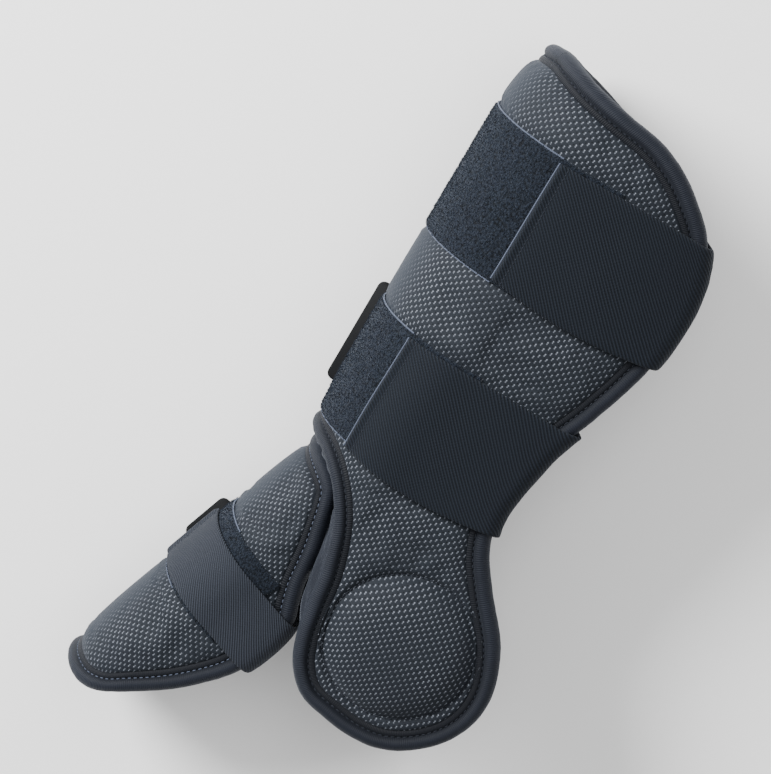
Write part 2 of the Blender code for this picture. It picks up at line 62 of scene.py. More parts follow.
# Sizes that the solids have too
SHIN_LENGTH = 245.0
SHIN_DEPTH = 143.0
CALF_HALF = 57.0
PAD_THICK = 8.0
ROLL_WIDTH = 12.0
CUP_RADIUS = 40.0
CUP_DEPTH_SHARE = 0.724
CUP_UP_SHARE = -0.314
POCKET_DEPTH = 2.6
CALF_STRAP_WIDTH = 70.5
FOOT_STRAP_WIDTH = 38.0
PANEL_MARGIN = 2.5
STRAP_LIFT = 2.15
ROLL_LIFT = 2.9
FOOT_LENGTH = 194.0
FOOT_DEPTH = 71.0
FOOT_NEAR = 28.0
FOOT_TURN = 19.0
FOOT_START = (-20.5, -51.7)
SHIN_START = (-25.0, -33.0)
GAP = 0.35
TAB_CORNER = 4.0
# Height of the rolled edges' back
UNDER_ROLL = -9.4
# The gusset across the front (shares of the quarter girth), then down the near side (mm along
# the shin's outline and the foot's)
GUSSET_SPAN = (-0.95, 0.72)
GUSSET_DOWN = (78.0, 40.0)
GUSSET_COLUMNS = 46
# The foot strap's lower edge (share of FOOT_LENGTH) and how far its panel reaches past that
FOOT_STRAP_SHARE = 0.335
FOOT_PANEL_PAST = 9.5
LOWER_PANEL_INSET = 1.8
# Point spacing along the outlines, of the rolled edges, and inside the covers
OUTLINE_STEP = 2.6
ROLL_STEP = 1.6
COVER_STEP = 3.3
PANEL_STEP = 1.25
STRAP_STEP = 1.5
# How far beside a strap the cover is still pressed down
PRESS_SPREAD = 7.0

# Columns: up (share of SHIN_LENGTH), set back (share of SHIN_DEPTH), near height, far height,
# nose radius, near edge turned in, far edge turned in (shares of CALF_HALF)
SHIN_STATIONS = [
    (1.02, 0.110, 0.87, 0.90, 0.90, 0.10, 0.00),
    (0.95, 0.035, 0.93, 0.97, 0.97, 0.18, 0.00),
    (0.88, 0.004, 0.98, 1.00, 1.00, 0.24, 0.00),
    (0.75, 0.000, 1.00, 1.00, 1.00, 0.25, 0.00),
    (0.54, 0.000, 1.00, 1.00, 1.00, 0.25, 0.00),
    (0.34, 0.000, 0.95, 1.00, 0.97, 0.21, 0.00),
    (0.13, 0.000, 0.86, 1.00, 0.92, 0.14, 0.00),
    (0.01, 0.010, 0.83, 1.00, 0.88, 0.10, 0.00),
    (-0.11, 0.021, 0.81, 0.97, 0.84, 0.07, 0.00),
    (-0.31, 0.021, 0.82, 0.90, 0.80, 0.07, 0.00),
    (-0.60, 0.021, 0.77, 0.90, 0.77, 0.07, 0.00),
]

# Columns: side (1 near, -1 far), depth (share of SHIN_DEPTH), up (share of SHIN_LENGTH)
SHIN_EDGE = [
    (1, 0.130, 1.000),
    (1, 0.190, 0.993),
    (1, 0.290, 0.979),
    (1, 0.437, 0.963),
    (1, 0.594, 0.947),
    (1, 0.715, 0.915),
    (1, 0.815, 0.873),
    (1, 0.905, 0.823),
    (1, 0.960, 0.762),
    (1, 0.990, 0.694),
    (1, 0.999, 0.604),
    (1, 0.975, 0.486),
    (1, 0.915, 0.365),
    (1, 0.845, 0.255),
    (1, 0.805, 0.140),
    (1, 0.793, 0.050),
    (1, 0.835, -0.030),
    (1, 0.925, -0.105),
    (1, 1.050, -0.197),
    (1, 1.118, -0.289),
    (1, 1.126, -0.370),
    (1, 1.080, -0.445),
    (1, 0.985, -0.507),
    (1, 0.870, -0.546),
    (1, 0.749, -0.557),
    (1, 0.625, -0.549),
    (1, 0.500, -0.530),
    (1, 0.410, -0.478),
    (1, 0.362, -0.410),
    (1, 0.335, -0.330),
    (1, 0.318, -0.250),
    (1, 0.272, -0.160),
    (1, 0.200, -0.092),
    (1, 0.128, -0.052),
    (1, 0.060, -0.034),
    (0, 0.000, -0.030),
    (-1, 0.060, -0.030),
    (-1, 0.200, -0.035),
    (-1, 0.400, -0.042),
    (-1, 0.570, -0.040),
    (-1, 0.655, 0.005),
    (-1, 0.672, 0.080),
    (-1, 0.675, 0.165),
    (-1, 0.690, 0.260),
    (-1, 0.730, 0.370),
    (-1, 0.765, 0.490),
    (-1, 0.778, 0.600),
    (-1, 0.778, 0.700),
    (-1, 0.755, 0.790),
    (-1, 0.690, 0.850),
    (-1, 0.580, 0.885),
    (-1, 0.430, 0.910),
    (-1, 0.310, 0.935),
    (-1, 0.200, 0.957),
    (-1, 0.130, 0.975),
    (0, 0.080, 0.990),
]

# Columns: along to the toe (share of FOOT_LENGTH), set in (share of FOOT_DEPTH), near height
# (share of FOOT_NEAR), nose depth (share of FOOT_DEPTH), edge turned in (share of FOOT_DEPTH)
FOOT_STATIONS = [
    (-0.06, 0.020, 0.96, 0.48, 0.00),
    (0.10, 0.000, 1.00, 0.48, 0.00),
    (0.50, 0.000, 1.00, 0.48, 0.00),
    (0.75, 0.000, 0.96, 0.47, 0.00),
    (0.90, 0.020, 0.84, 0.45, 0.00),
    (0.97, 0.070, 0.70, 0.42, 0.00),
]

# Columns: depth (share of FOOT_DEPTH), along to the toe (share of FOOT_LENGTH); near half
FOOT_EDGE = [
    (0.000, -0.042),
    (0.140, -0.041),
    (0.330, -0.024),
    (0.445, 0.018),
    (0.545, 0.068),
    (0.645, 0.125),
    (0.725, 0.185),
    (0.795, 0.240),
    (0.880, 0.288),
    (0.962, 0.335),
    (0.998, 0.410),
    (0.996, 0.500),
    (0.960, 0.575),
    (0.880, 0.650),
    (0.780, 0.722),
    (0.660, 0.790),
    (0.530, 0.852),
    (0.400, 0.905),
    (0.250, 0.945),
    (0.110, 0.962),
    (0.000, 0.967),
]

# Rolled edge's section, from the seam at the cover, over the roll and back underneath.
# Columns: in from the outer edge, out from the cover's face, both in mm
ROLL_SECTION = [
    (12.9, -1.6),
    (12.3, -0.75),
    (11.4, -0.30),
    (10.3, -0.10),
    (9.3, -0.35),
    (8.8, -1.00),
    (8.4, -0.20),
    (7.7, 1.05),
    (6.5, 1.95),
    (5.0, 2.25),
    (3.4, 1.85),
    (2.0, 0.95),
    (0.9, -0.50),
    (0.25, -2.20),
    (0.0, -4.00),
    (0.35, -5.80),
    (1.5, -7.50),
    (3.4, -8.80),
    (5.8, -9.40),
    (8.6, -9.35),
    (11.2, -8.90),
    (12.9, -8.10),
    (13.0, -5.00),
]

# Ankle cup's section. Columns: share of CUP_RADIUS, out from the cover's face in mm
CUP_SECTION = [
    (1.045, -2.3),
    (1.030, -1.55),
    (1.005, -0.80),
    (0.975, 0.55),
    (0.935, 2.15),
    (0.880, 3.85),
    (0.800, 5.65),
    (0.700, 7.10),
    (0.580, 8.15),
    (0.440, 8.85),
    (0.290, 9.25),
    (0.140, 9.40),
]

# Calf straps. Columns: word, middle (share of SHIN_LENGTH), near end's depth, panel end's depth,
# far tab's depth (shares of SHIN_DEPTH), how far the top and the bottom edge bow up (mm)
CALF_STRAPS = [
    ("upper", 0.659, 0.308, 0.56, 0.05, 0.8, -3.8),
    ("lower", 0.159, 0.165, 0.45, -0.055, 1.2, -4.2),
]


class Skin:
    """A guard's outer face, a rounded nose and two flat sides, by girth and place along."""

    def __init__(self, start, along, depth, table, quarter, spread):
        self.start, self.along, self.depth = start, along, depth
        self.table = np.array(sorted(table))
        self.quarter, self.spread = quarter, spread

    def row(self, v):
        around = [np.asarray(v, float) + d for d in (-12, -8, -4, 0, 4, 8, 12)]
        return [sum(np.interp(s, self.table[:, 0], self.table[:, k]) for s in around) / 7
                for k in range(1, 7)]

    def girth(self, side, depth, v):
        front, _, _, nose, _, _ = self.row(v)
        behind = depth - front
        if behind <= 0 or side == 0:
            return 0.0
        if behind < nose:
            return side * self.quarter * math.acos(1 - behind / nose) / (math.pi / 2)
        return side * (self.quarter + behind - nose)

    def point(self, g, v):
        g, v = np.asarray(g, float), np.asarray(v, float)
        front, near, far, nose, turn_near, turn_far = self.row(v)
        mid = (near + far) / 2
        tall = np.where(g >= 0, near - mid, mid - far)
        angle = np.clip(np.abs(g) / self.quarter, 0, 1) * math.pi / 2
        past = np.maximum(np.abs(g) - self.quarter, 0)
        turn = np.where(g >= 0, turn_near, turn_far) * (past / self.spread) ** 2
        depth = front + nose * (1 - np.cos(angle)) + past
        rise = np.sign(g) * (tall * np.sin(angle) - turn)
        flat = self.start + v[..., None] * self.along + depth[..., None] * self.depth
        return np.concatenate([flat, (mid + rise)[..., None]], -1)

    def normal(self, g, v):
        g, v = np.asarray(g, float), np.asarray(v, float)
        step = 0.2
        a = self.point(g + step, v) - self.point(g - step, v)
        b = self.point(g, v + step) - self.point(g, v - step)
        n = np.cross(a, b)
        flip = np.sign(self.depth[0] * self.along[1] - self.depth[1] * self.along[0])
        return n * flip / np.linalg.norm(n, axis=-1, keepdims=True)

    def inward(self, g, v):
        """Unit step along the growing girth."""
        a = self.point(g + 0.2, v) - self.point(g - 0.2, v)
        return a / np.linalg.norm(a, axis=-1, keepdims=True)

    def lift(self, g, v, height):
        return self.point(g, v) + self.normal(g, v) * np.asarray(height, float)[..., None]


def shin_skin():
    table = [(up * SHIN_LENGTH, back * SHIN_DEPTH, near * CALF_HALF, -far * CALF_HALF,
              nose * CALF_HALF, turn_near * CALF_HALF, turn_far * CALF_HALF)
             for up, back, near, far, nose, turn_near, turn_far in SHIN_STATIONS]
    return Skin(np.array(SHIN_START), np.array([0.0, 1.0]), np.array([1.0, 0.0]), table,
                CALF_HALF * 1.49, SHIN_DEPTH * 0.66)


def foot_skin():
    turn = math.radians(FOOT_TURN)
    table = [(along * FOOT_LENGTH, inset * FOOT_DEPTH, near * FOOT_NEAR, -CALF_HALF,
              nose * FOOT_DEPTH, turned * FOOT_DEPTH, 0.0)
             for along, inset, near, nose, turned in FOOT_STATIONS]
    return Skin(np.array(FOOT_START), np.array([-math.sin(turn), -math.cos(turn)]),
                np.array([math.cos(turn), -math.sin(turn)]), table, FOOT_DEPTH * 0.84,
                FOOT_DEPTH * 0.6)


def bend_through(p, closed, parts=12):
    """Dense points on a Catmull-Rom curve through the rows of p."""
    p = np.asarray(p, float)
    n = len(p)
    if closed:
        at = [np.roll(p, k, 0) for k in (1, 0, -1, -2)]
    else:
        ends = np.concatenate([[2 * p[0] - p[1]], p, [2 * p[-1] - p[-2]]])
        at = [ends[k:n - 1 + k] for k in range(4)]
    a, b, c, d = at
    t = np.linspace(0, 1, parts, endpoint=False)[None, :, None]
    a, b, c, d = (x[:, None] for x in (a, b, c, d))
    dense = 0.5 * (2 * b + (c - a) * t + (2 * a - 5 * b + 4 * c - d) * t**2
                   + (3 * b - a - 3 * c + d) * t**3)
    last = dense[:1, 0] if closed else p[-1:]
    return np.concatenate([dense.reshape(-1, p.shape[1]), last])


def even_steps(dense, count, closed=False, size=3):
    """Points at equal steps along a dense polyline, measured on its first columns."""
    far = np.linalg.norm(np.diff(dense[:, :size], axis=0), axis=1)
    far = np.concatenate([[0], np.cumsum(far)])
    at = np.linspace(0, far[-1], count, endpoint=not closed)
    return np.stack([np.interp(at, far, dense[:, k]) for k in range(dense.shape[1])], 1), far[-1]


def smooth_loop(points, step):
    dense = bend_through(points, True)
    length = np.linalg.norm(np.diff(dense, axis=0), axis=1).sum()
    return even_steps(dense, round(length / step), True, 2)[0]


def shin_loop(skin, step):
    points = [(skin.girth(side, depth * SHIN_DEPTH, up * SHIN_LENGTH), up * SHIN_LENGTH)
              for side, depth, up in SHIN_EDGE]
    return smooth_loop(points, step)


def foot_loop(skin, step):
    half = []
    for depth, along in FOOT_EDGE:
        v = along * FOOT_LENGTH
        half.append((skin.girth(1, depth * FOOT_DEPTH + skin.row(v)[0], v), v))
    half[0] = (0.0, half[0][1])
    half[-1] = (0.0, half[-1][1])
    return smooth_loop(half + [(-g, v) for g, v in reversed(half[1:-1])], step)


def loop_out(loop):
    """Unit vectors pointing out of a closed loop, in its own plane."""
    t = np.roll(loop, -1, 0) - np.roll(loop, 1, 0)
    t /= np.linalg.norm(t, axis=1)[:, None]
    out = np.stack([t[:, 1], -t[:, 0]], 1)
    area = np.sum(loop[:, 0] * np.roll(loop[:, 1], -1) - loop[:, 1] * np.roll(loop[:, 0], -1))
    return out if area > 0 else -out


def inside(points, loop):
    x, y = points[:, 0], points[:, 1]
    hit = np.zeros(len(points), bool)
    for a, b in zip(loop, np.roll(loop, -1, 0)):
        if a[1] != b[1]:
            crosses = (a[1] > y) != (b[1] > y)
            hit ^= crosses & (x < (b[0] - a[0]) * (y - a[1]) / (b[1] - a[1]) + a[0])
    return hit


def off_loop(points, loop):
    """How far each point is from a closed loop."""
    a, b = loop, np.roll(loop, -1, 0)
    d = b - a
    best = []
    for part in np.array_split(points, max(1, len(points) // 1500)):
        t = np.clip(((part[:, None] - a) * d).sum(2) / (d * d).sum(1), 0, 1)
        best.append(np.linalg.norm(part[:, None] - (a + t[..., None] * d), axis=2).min(1))
    return np.concatenate(best)


def edge_girth(loop, side, v):
    """The girth of the outline's back edge on one side, at a place along the guard."""
    best = 0.0
    for a, b in zip(loop, np.roll(loop, -1, 0)):
        if (a[1] - v) * (b[1] - v) <= 0 and a[1] != b[1]:
            g = a[0] + (b[0] - a[0]) * (v - a[1]) / (b[1] - a[1])
            best = max(best, g * side)
    return best


def low_edge(loop, g):
    """The least place along the guard at which the outline has this girth."""
    hits = []
    for a, b in zip(loop, np.roll(loop, -1, 0)):
        if (a[0] - g) * (b[0] - g) <= 0 and a[0] != b[0]:
            hits.append(a[1] + (b[1] - a[1]) * (g - a[0]) / (b[0] - a[0]))
    return min(hits)


def ease(x, low, high):
    t = np.clip((np.asarray(x, float) - low) / (high - low), 0, 1)
    return t * t * (3 - 2 * t)


def ripple(points, scale, seed):
    """Smooth noise from -1 to 1 at each point, with features of the given size."""
    return np.array([noise.noise(Vector(p) / scale + Vector((seed, seed * 1.7, 0.0)))
                     for p in points])


# Meshes


def make_piece(name, points, faces, materials, weave=None, which=None):
    """A mesh object with its place in its mesh, its weave coordinates in mm and its materials."""
    mesh = bpy.data.meshes.new(name)
    mesh.from_pydata(((np.asarray(points) + SHIFT) * MM).tolist(), [], faces)
    mesh.update()
    thing = bpy.data.objects.new(name, mesh)
    bpy.context.scene.collection.objects.link(thing)
    mesh.polygons.foreach_set("use_smooth", [True] * len(mesh.polygons))
    for mat in materials:
        mesh.materials.append(mat)
    if which is not None:
        mesh.polygons.foreach_set("material_index", which)
    if weave is not None:
        data = mesh.attributes.new("weave", "FLOAT_VECTOR", "POINT")
        data.data.foreach_set("vector", np.asarray(weave, np.float32).ravel())
    return thing


def outward(thing):
    """Turn all faces out, judged by the solid's volume."""
    mesh = thing.data
    mesh.calc_loop_triangles()
    co = np.zeros(len(mesh.vertices) * 3)
    mesh.vertices.foreach_get("co", co)
    tri = np.zeros(len(mesh.loop_triangles) * 3, int)
    mesh.loop_triangles.foreach_get("vertices", tri)
    a, b, c = co.reshape(-1, 3)[tri.reshape(-1, 3)].transpose(1, 0, 2)
    if (a * np.cross(b, c)).sum() < 0:
        mesh.flip_normals()
    return thing


def ring_faces(rows, cols, wrap_rows=False, wrap_cols=False, start=0):
    """Quads of a grid of points, numbered row by row."""
    i, j = np.meshgrid(np.arange(rows if wrap_rows else rows - 1),
                       np.arange(cols if wrap_cols else cols - 1), indexing="ij")
    k, m = (i + 1) % rows, (j + 1) % cols
    quads = np.stack([i * cols + j, k * cols + j, k * cols + m, i * cols + m], -1)
    return (quads.reshape(-1, 4) + start).tolist()


def tube_piece(name, grid, materials, weave):
    """A closed band: each row of the grid is a closed section, joined row to row."""
    rows, cols = grid.shape[:2]
    faces = ring_faces(rows, cols, False, True)
    faces += [tuple(range(cols)), tuple(reversed(range((rows - 1) * cols, rows * cols)))]
    return outward(make_piece(name, grid.reshape(-1, 3), faces, materials, weave.reshape(-1, 3)))


def finish_piece(thing, slot, *nodes):
    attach(thing, "root")
    if nodes:
        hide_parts(*nodes)
    return thing


def pressed(v, bands):
    """How far the straps hold the pad down: 1 under a strap, 0 away from it."""
    hold = np.zeros(np.shape(v))
    for low, high in bands:
        past = 1 - ease(v, high, high + PRESS_SPREAD)
        hold = np.maximum(hold, ease(v, low - PRESS_SPREAD, low) * past)
    return hold


def shin_bands():
    half = CALF_STRAP_WIDTH / 2 + PANEL_MARGIN
    return [(row[1] * SHIN_LENGTH - half, row[1] * SHIN_LENGTH + half) for row in CALF_STRAPS]


def foot_bands():
    low = FOOT_STRAP_SHARE * FOOT_LENGTH
    return [(low - FOOT_PANEL_PAST, low + FOOT_STRAP_WIDTH + PANEL_MARGIN)]


def cup_centre(skin):
    v = CUP_UP_SHARE * SHIN_LENGTH
    return np.array([skin.girth(1, CUP_DEPTH_SHARE * SHIN_DEPTH, v), v])


def cover_piece(name, skin, loop, bands, crown, materials, cup=None):
    """A padded cover: mesh cloth outside, lining inside, both tucked into the rolled edge."""
    out2 = loop_out(loop)
    # Columns: in from the outline, outside height, lining height
    rings = [(9.5, -2.4, -6.2), (12.2, -1.7, -7.3), (12.9, -0.55, -8.0), (14.0, 0.10, -8.1)]
    points, tops, lows, edges = [], [], [], []

    def add_ring(ring, top, low):
        first, n = len(points), len(ring)
        points.extend(map(tuple, ring))
        tops.extend([top] * n)
        lows.extend([low] * n)
        edges.extend((first + i, first + (i + 1) % n) for i in range(n))

    for inset, top, low in rings:
        add_ring(loop - out2 * inset, top, low)
    inner = loop - out2 * rings[-1][0]
    step = COVER_STEP
    low_corner, high_corner = loop.min(0), loop.max(0)
    vs = np.arange(low_corner[1], high_corner[1], step * 0.866)
    lattice = np.array([(g + (k % 2) * step / 2, v) for k, v in enumerate(vs)
                        for g in np.arange(low_corner[0], high_corner[0], step)])
    lattice = lattice[inside(lattice, inner)]
    away = off_loop(lattice, inner)
    lattice, away = lattice[away > 2.0], away[away > 2.0]
    height = crown * (1 - np.exp(-away / 9.0)) * (1 - pressed(lattice[:, 1], bands))
    if cup is not None:
        turn = np.linspace(0, 2 * math.pi, 96, endpoint=False)
        circle = np.stack([np.cos(turn), np.sin(turn)], 1)
        for radius, top in ((CUP_RADIUS + 4.0, -0.05), (CUP_RADIUS + 2.5, -1.35),
                            (CUP_RADIUS + 1.2, -POCKET_DEPTH)):
            add_ring(cup + circle * radius, top, -PAD_THICK)
        near = np.hypot(*(lattice - cup).T)
        keep = (near > CUP_RADIUS + 5.2) | (near < CUP_RADIUS - 1.0)
        height = height * ease(near, CUP_RADIUS + 2, CUP_RADIUS + 14)
        height = np.where(near < CUP_RADIUS, -POCKET_DEPTH, height)
        lattice, height = lattice[keep], height[keep]
    points.extend(map(tuple, lattice))
    tops.extend(height)
    lows.extend([-PAD_THICK] * len(lattice))
    flat = [Vector(q) for q in points]
    verts, _, tris, origin, _, _ = delaunay_2d_cdt(flat, edges, [], 1, 1e-4)
    given = np.array(points)
    flat = np.array([tuple(v) for v in verts])
    place = np.array([o[0] if o else int(np.hypot(*(given - q).T).argmin())
                      for o, q in zip(origin, flat)])
    tris = np.array(tris)
    tris = tris[inside(flat[tris].mean(1), loop - out2 * rings[0][0])]
    tops, lows = np.array(tops)[place], np.array(lows)[place]
    count = len(flat)
    sides = {}
    for t in tris.tolist():
        for e in ((t[0], t[1]), (t[1], t[2]), (t[2], t[0])):
            if (e[1], e[0]) in sides:
                del sides[(e[1], e[0])]
            else:
                sides[e] = True
    faces = tris.tolist() + (tris[:, ::-1] + count).tolist()
    faces += [(b, a, count + a, count + b) for a, b in sides]
    which = [0] * len(tris) + [1] * (len(tris) + len(sides))
    # Painted sheen: this mask is 0 on the nose and 1 away from it. Towards the nose the mesh cloth
    # is painted a lighter plain grey, and its dashes and holes fade out.
    nose_sheen_fade = ease(np.abs(flat[:, 0]) / skin.quarter, 0.16, 0.52)
    weave = np.column_stack([flat, nose_sheen_fade])
    both = np.concatenate([skin.lift(*flat.T, tops), skin.lift(*flat.T, lows)])
    thing = outward(make_piece(name, both, faces, materials, np.tile(weave, (2, 1)), which))
    held = np.ones(2 * count)
    ring_count = len(points) - len(lattice)
    free = place >= ring_count
    held[:count][free] = pressed(flat[free, 1], bands)
    if cup is not None:
        held[:count][np.hypot(*(flat - cup).T) < CUP_RADIUS + 4.5] = 1.0
    return thing, held


def swell(thing, held, cap):
    """Let the cloth swell and pucker between the places where it is sewn or strapped down."""
    mesh = thing.data
    count = len(mesh.vertices)
    base = np.zeros(count * 3, np.float32)
    mesh.vertices.foreach_get("co", base)
    group = thing.vertex_groups.new(name="held")
    for weight in np.unique(held.round(2)):
        group.add(np.flatnonzero(held.round(2) == weight).tolist(), float(weight), "REPLACE")
    cloth = thing.modifiers.new("cloth", "CLOTH")
    cloth.settings.quality = 6
    cloth.settings.mass = 0.2
    cloth.settings.tension_stiffness = 12
    cloth.settings.compression_stiffness = 12
    cloth.settings.bending_stiffness = 0.3
    cloth.settings.use_pressure = True
    cloth.settings.uniform_pressure_force = 4.0
    cloth.settings.shrink_min = -0.035
    cloth.settings.vertex_group_mass = "held"
    cloth.settings.effector_weights.gravity = 0
    cloth.collision_settings.use_collision = False
    cloth.point_cache.frame_start = 1
    cloth.point_cache.frame_end = 20
    scene = bpy.context.scene
    for step in range(1, 21):
        scene.frame_set(step)
    moved = np.zeros(count * 3, np.float32)
    posed = thing.evaluated_get(bpy.context.evaluated_depsgraph_get())
    posed.data.vertices.foreach_get("co", moved)
    thing.modifiers.remove(cloth)
    thing.vertex_groups.remove(group)
    scene.frame_set(1)
    change = (moved - base).reshape(-1, 3)
    length = np.linalg.norm(change, axis=1, keepdims=True)
    change *= np.minimum(1, cap * MM / np.maximum(length, 1e-9))
    mesh.vertices.foreach_set("co", (base.reshape(-1, 3) + change).ravel())
    mesh.update()
    print(thing.name, "swelled by mm", round(float(length.max()) / MM, 2), "mean",
          round(float(length.mean()) / MM, 3))


def roll_piece(name, skin, loop, materials, seed):
    """The rolled edge, with the flat sewn strip on its inner side."""
    out2 = loop_out(loop)
    section = bend_through([(s, h) for s, h in ROLL_SECTION], True, 2)[:-1]
    step = np.linalg.norm(np.roll(loop, -1, 0) - loop, axis=1)
    far = np.concatenate([[0], np.cumsum(step)[:-1]])
    soft = ripple(np.column_stack([loop, 0 * far]), 17.0, seed)
    fine = ripple(np.column_stack([loop, 0 * far]), 5.0, seed + 3)
    around = np.concatenate([[0], np.cumsum(np.linalg.norm(np.diff(section, axis=0), axis=1))])
    rows, weave = [], []
    for (s, h), turn in zip(section, around):
        round_part = ease(s, 9.5, 5.0)
        swell_by = (0.28 * soft + 0.16 * fine) * round_part
        at = loop + out2 * (-s + swell_by * 0.5)[:, None]
        rows.append(skin.lift(at[:, 0], at[:, 1], h + np.sign(h + 3.5) * swell_by))
        # The third weave value is 1 on the roll and 0 on the flat strip, where the knit's painted
        # groove shade goes.
        weave.append(np.column_stack([far, np.full(len(far), turn), 0 * far + round_part]))
    grid = np.array(rows).transpose(1, 0, 2)
    weave = np.array(weave).transpose(1, 0, 2)
    faces = ring_faces(*grid.shape[:2], True, True)
    return outward(make_piece(name, grid.reshape(-1, 3), faces, materials, weave.reshape(-1, 3)))


def cup_piece(name, skin, centre, materials):
    turn = np.linspace(0, 2 * math.pi, 96, endpoint=False)
    circle = np.stack([np.cos(turn), np.sin(turn)], 1)
    section = bend_through(CUP_SECTION, False, 3)
    points, weave = [], []
    for share, height in section:
        flat = centre + circle * share * CUP_RADIUS
        sag = 0.25 * ripple(np.column_stack([flat, 0 * turn]), 16.0, 5.0)
        points.append(skin.lift(*flat.T, height + sag * ease(share, 1.0, 0.8)))
        weave.append(np.column_stack([flat, np.ones(len(turn))]))
    rows = len(points)
    faces = ring_faces(rows, len(turn), False, True)
    points = list(np.array(points).reshape(-1, 3)) + [skin.lift(*centre, CUP_SECTION[-1][1] + 0.02)]
    points.append(skin.lift(*centre, -2.5))
    weave = list(np.array(weave).reshape(-1, 3)) + [(*centre, 1.0)] * 2
    top, size = rows * len(turn), len(turn)
    for j in range(size):
        m = (j + 1) % size
        faces.append(((rows - 1) * size + j, top, (rows - 1) * size + m))
        faces.append((j, m, top + 1))
    thing = make_piece(name, np.array(points), faces, materials, np.array(weave))
    return outward(thing)


def panel_piece(name, skin, g_range, v_range, pile, materials, seed):
    """A loop panel: a thin cloth with rounded edges and a lumpy pile."""
    step = PANEL_STEP
    gs = np.linspace(*g_range, round((g_range[1] - g_range[0]) / step))
    vs = np.linspace(*v_range, round((v_range[1] - v_range[0]) / step))
    g, v = np.meshgrid(gs, vs)
    edge = np.minimum(np.minimum(v - v_range[0], v_range[1] - v),
                      np.minimum(g - g_range[0], g_range[1] - g))
    flat = np.column_stack([g.ravel(), v.ravel(), 0 * g.ravel()])
    lumps = 0.5 * ripple(flat, 1.7, seed) + 0.35 * ripple(flat, 4.5, seed + 2)
    lumps = lumps.reshape(g.shape) + 0.2 * ripple(flat, 22.0, seed + 4).reshape(g.shape)
    height = GAP + (1.25 + pile * (0.75 + lumps)) * (0.35 + 0.65 * ease(edge, -0.4, 1.6))
    outer = skin.lift(g, v, height)
    inner = skin.lift(g, v, np.full(g.shape, GAP * 0.5))
    thing = shell_piece(name, outer, inner, flat, materials)
    tufts = make_piece(name.replace("_cloth", "_tufts"), outer.reshape(-1, 3),
                       ring_faces(*outer.shape[:2]), [], flat)
    middle = tufts.data.polygons[len(tufts.data.polygons) // 2]
    out = skin.normal(*flat[middle.vertices[0], :2])
    if np.dot(middle.normal, out) < 0:
        tufts.data.flip_normals()
    return thing, tufts


def shell_piece(name, outer, inner, flat, materials):
    """A closed shell between two grids of points."""
    rows, cols = outer.shape[:2]
    n = rows * cols
    front = ring_faces(rows, cols)
    back = [tuple(reversed(f)) for f in ring_faces(rows, cols, start=n)]
    at = np.arange(n).reshape(rows, cols)
    rim = [*at[0], *at[1:, -1], *at[-1, -2::-1], *at[-2:0:-1, 0]]
    sides = [(a, b, b + n, a + n) for a, b in zip(rim, rim[1:] + rim[:1])]
    points = np.concatenate([outer.reshape(-1, 3), inner.reshape(-1, 3)])
    return outward(make_piece(name, points, front + back + [tuple(map(int, s)) for s in sides],
                              materials, np.tile(flat, (2, 1))))


def strap_line(skin, loop, v, near_g, end_depth, panel_end):
    """One lengthwise line of a strap: points on its inner face and outward directions."""
    near_edge, far_edge = edge_girth(loop, 1, v), edge_girth(loop, -1, v)
    depth3, up3 = np.array([*skin.depth, 0.0]), np.array([0.0, 0.0, 1.0])
    points, outs = [], []
    for g in np.linspace(near_g, near_edge - 10, 14):
        reach = np.clip((g - panel_end) / max(near_edge - 9 - panel_end, 1), 0, 1)
        points.append(skin.lift(g, v, STRAP_LIFT + (ROLL_LIFT - STRAP_LIFT) * reach))
        outs.append(skin.normal(g, v))
    round_z = ROLL_WIDTH / 2 + ROLL_LIFT - 0.18 * ROLL_WIDTH
    near_end, far_end = skin.point(near_edge, v), skin.point(-far_edge, v)
    back = (near_end - far_end)[:2] @ skin.depth
    lean = math.degrees(math.atan2(back, near_end[2] - far_end[2]))
    turns = ((1, near_edge, np.linspace(75, -lean, 5)), (-1, far_edge, np.linspace(-lean, -90, 5)))
    for side, g_edge, angles in turns:
        g_edge = side * g_edge
        middle = (skin.point(g_edge, v) - skin.inward(g_edge, v) * side * ROLL_WIDTH / 2
                  - skin.normal(g_edge, v) * 0.32 * ROLL_WIDTH)
        for k, deg in enumerate(angles):
            c, s = math.cos(math.radians(deg)), math.sin(math.radians(deg))
            q = middle + depth3 * (round_z + 0.9) * c + up3 * round_z * s
            if side == -1 and k == 0:
                for share in (0.25, 0.5, 0.75):
                    points.append(points[-1] + (q - points[-1]) * share)
                    outs.append(depth3 * c + up3 * s)
            points.append(q)
            outs.append(depth3 * c + up3 * s)
    for g in np.linspace(far_edge - 10, skin.quarter, 6):
        points.append(skin.lift(-g, v, ROLL_LIFT))
        outs.append(-up3)
    last = points[-1]
    here = (last[:2] - (skin.start + v * skin.along)) @ skin.depth
    for share in (0.33, 0.67, 1.0):
        q = last.copy()
        q[:2] += skin.depth * (end_depth - here) * share
        points.append(q)
        outs.append(-up3)
    return np.array(points), np.array(outs)


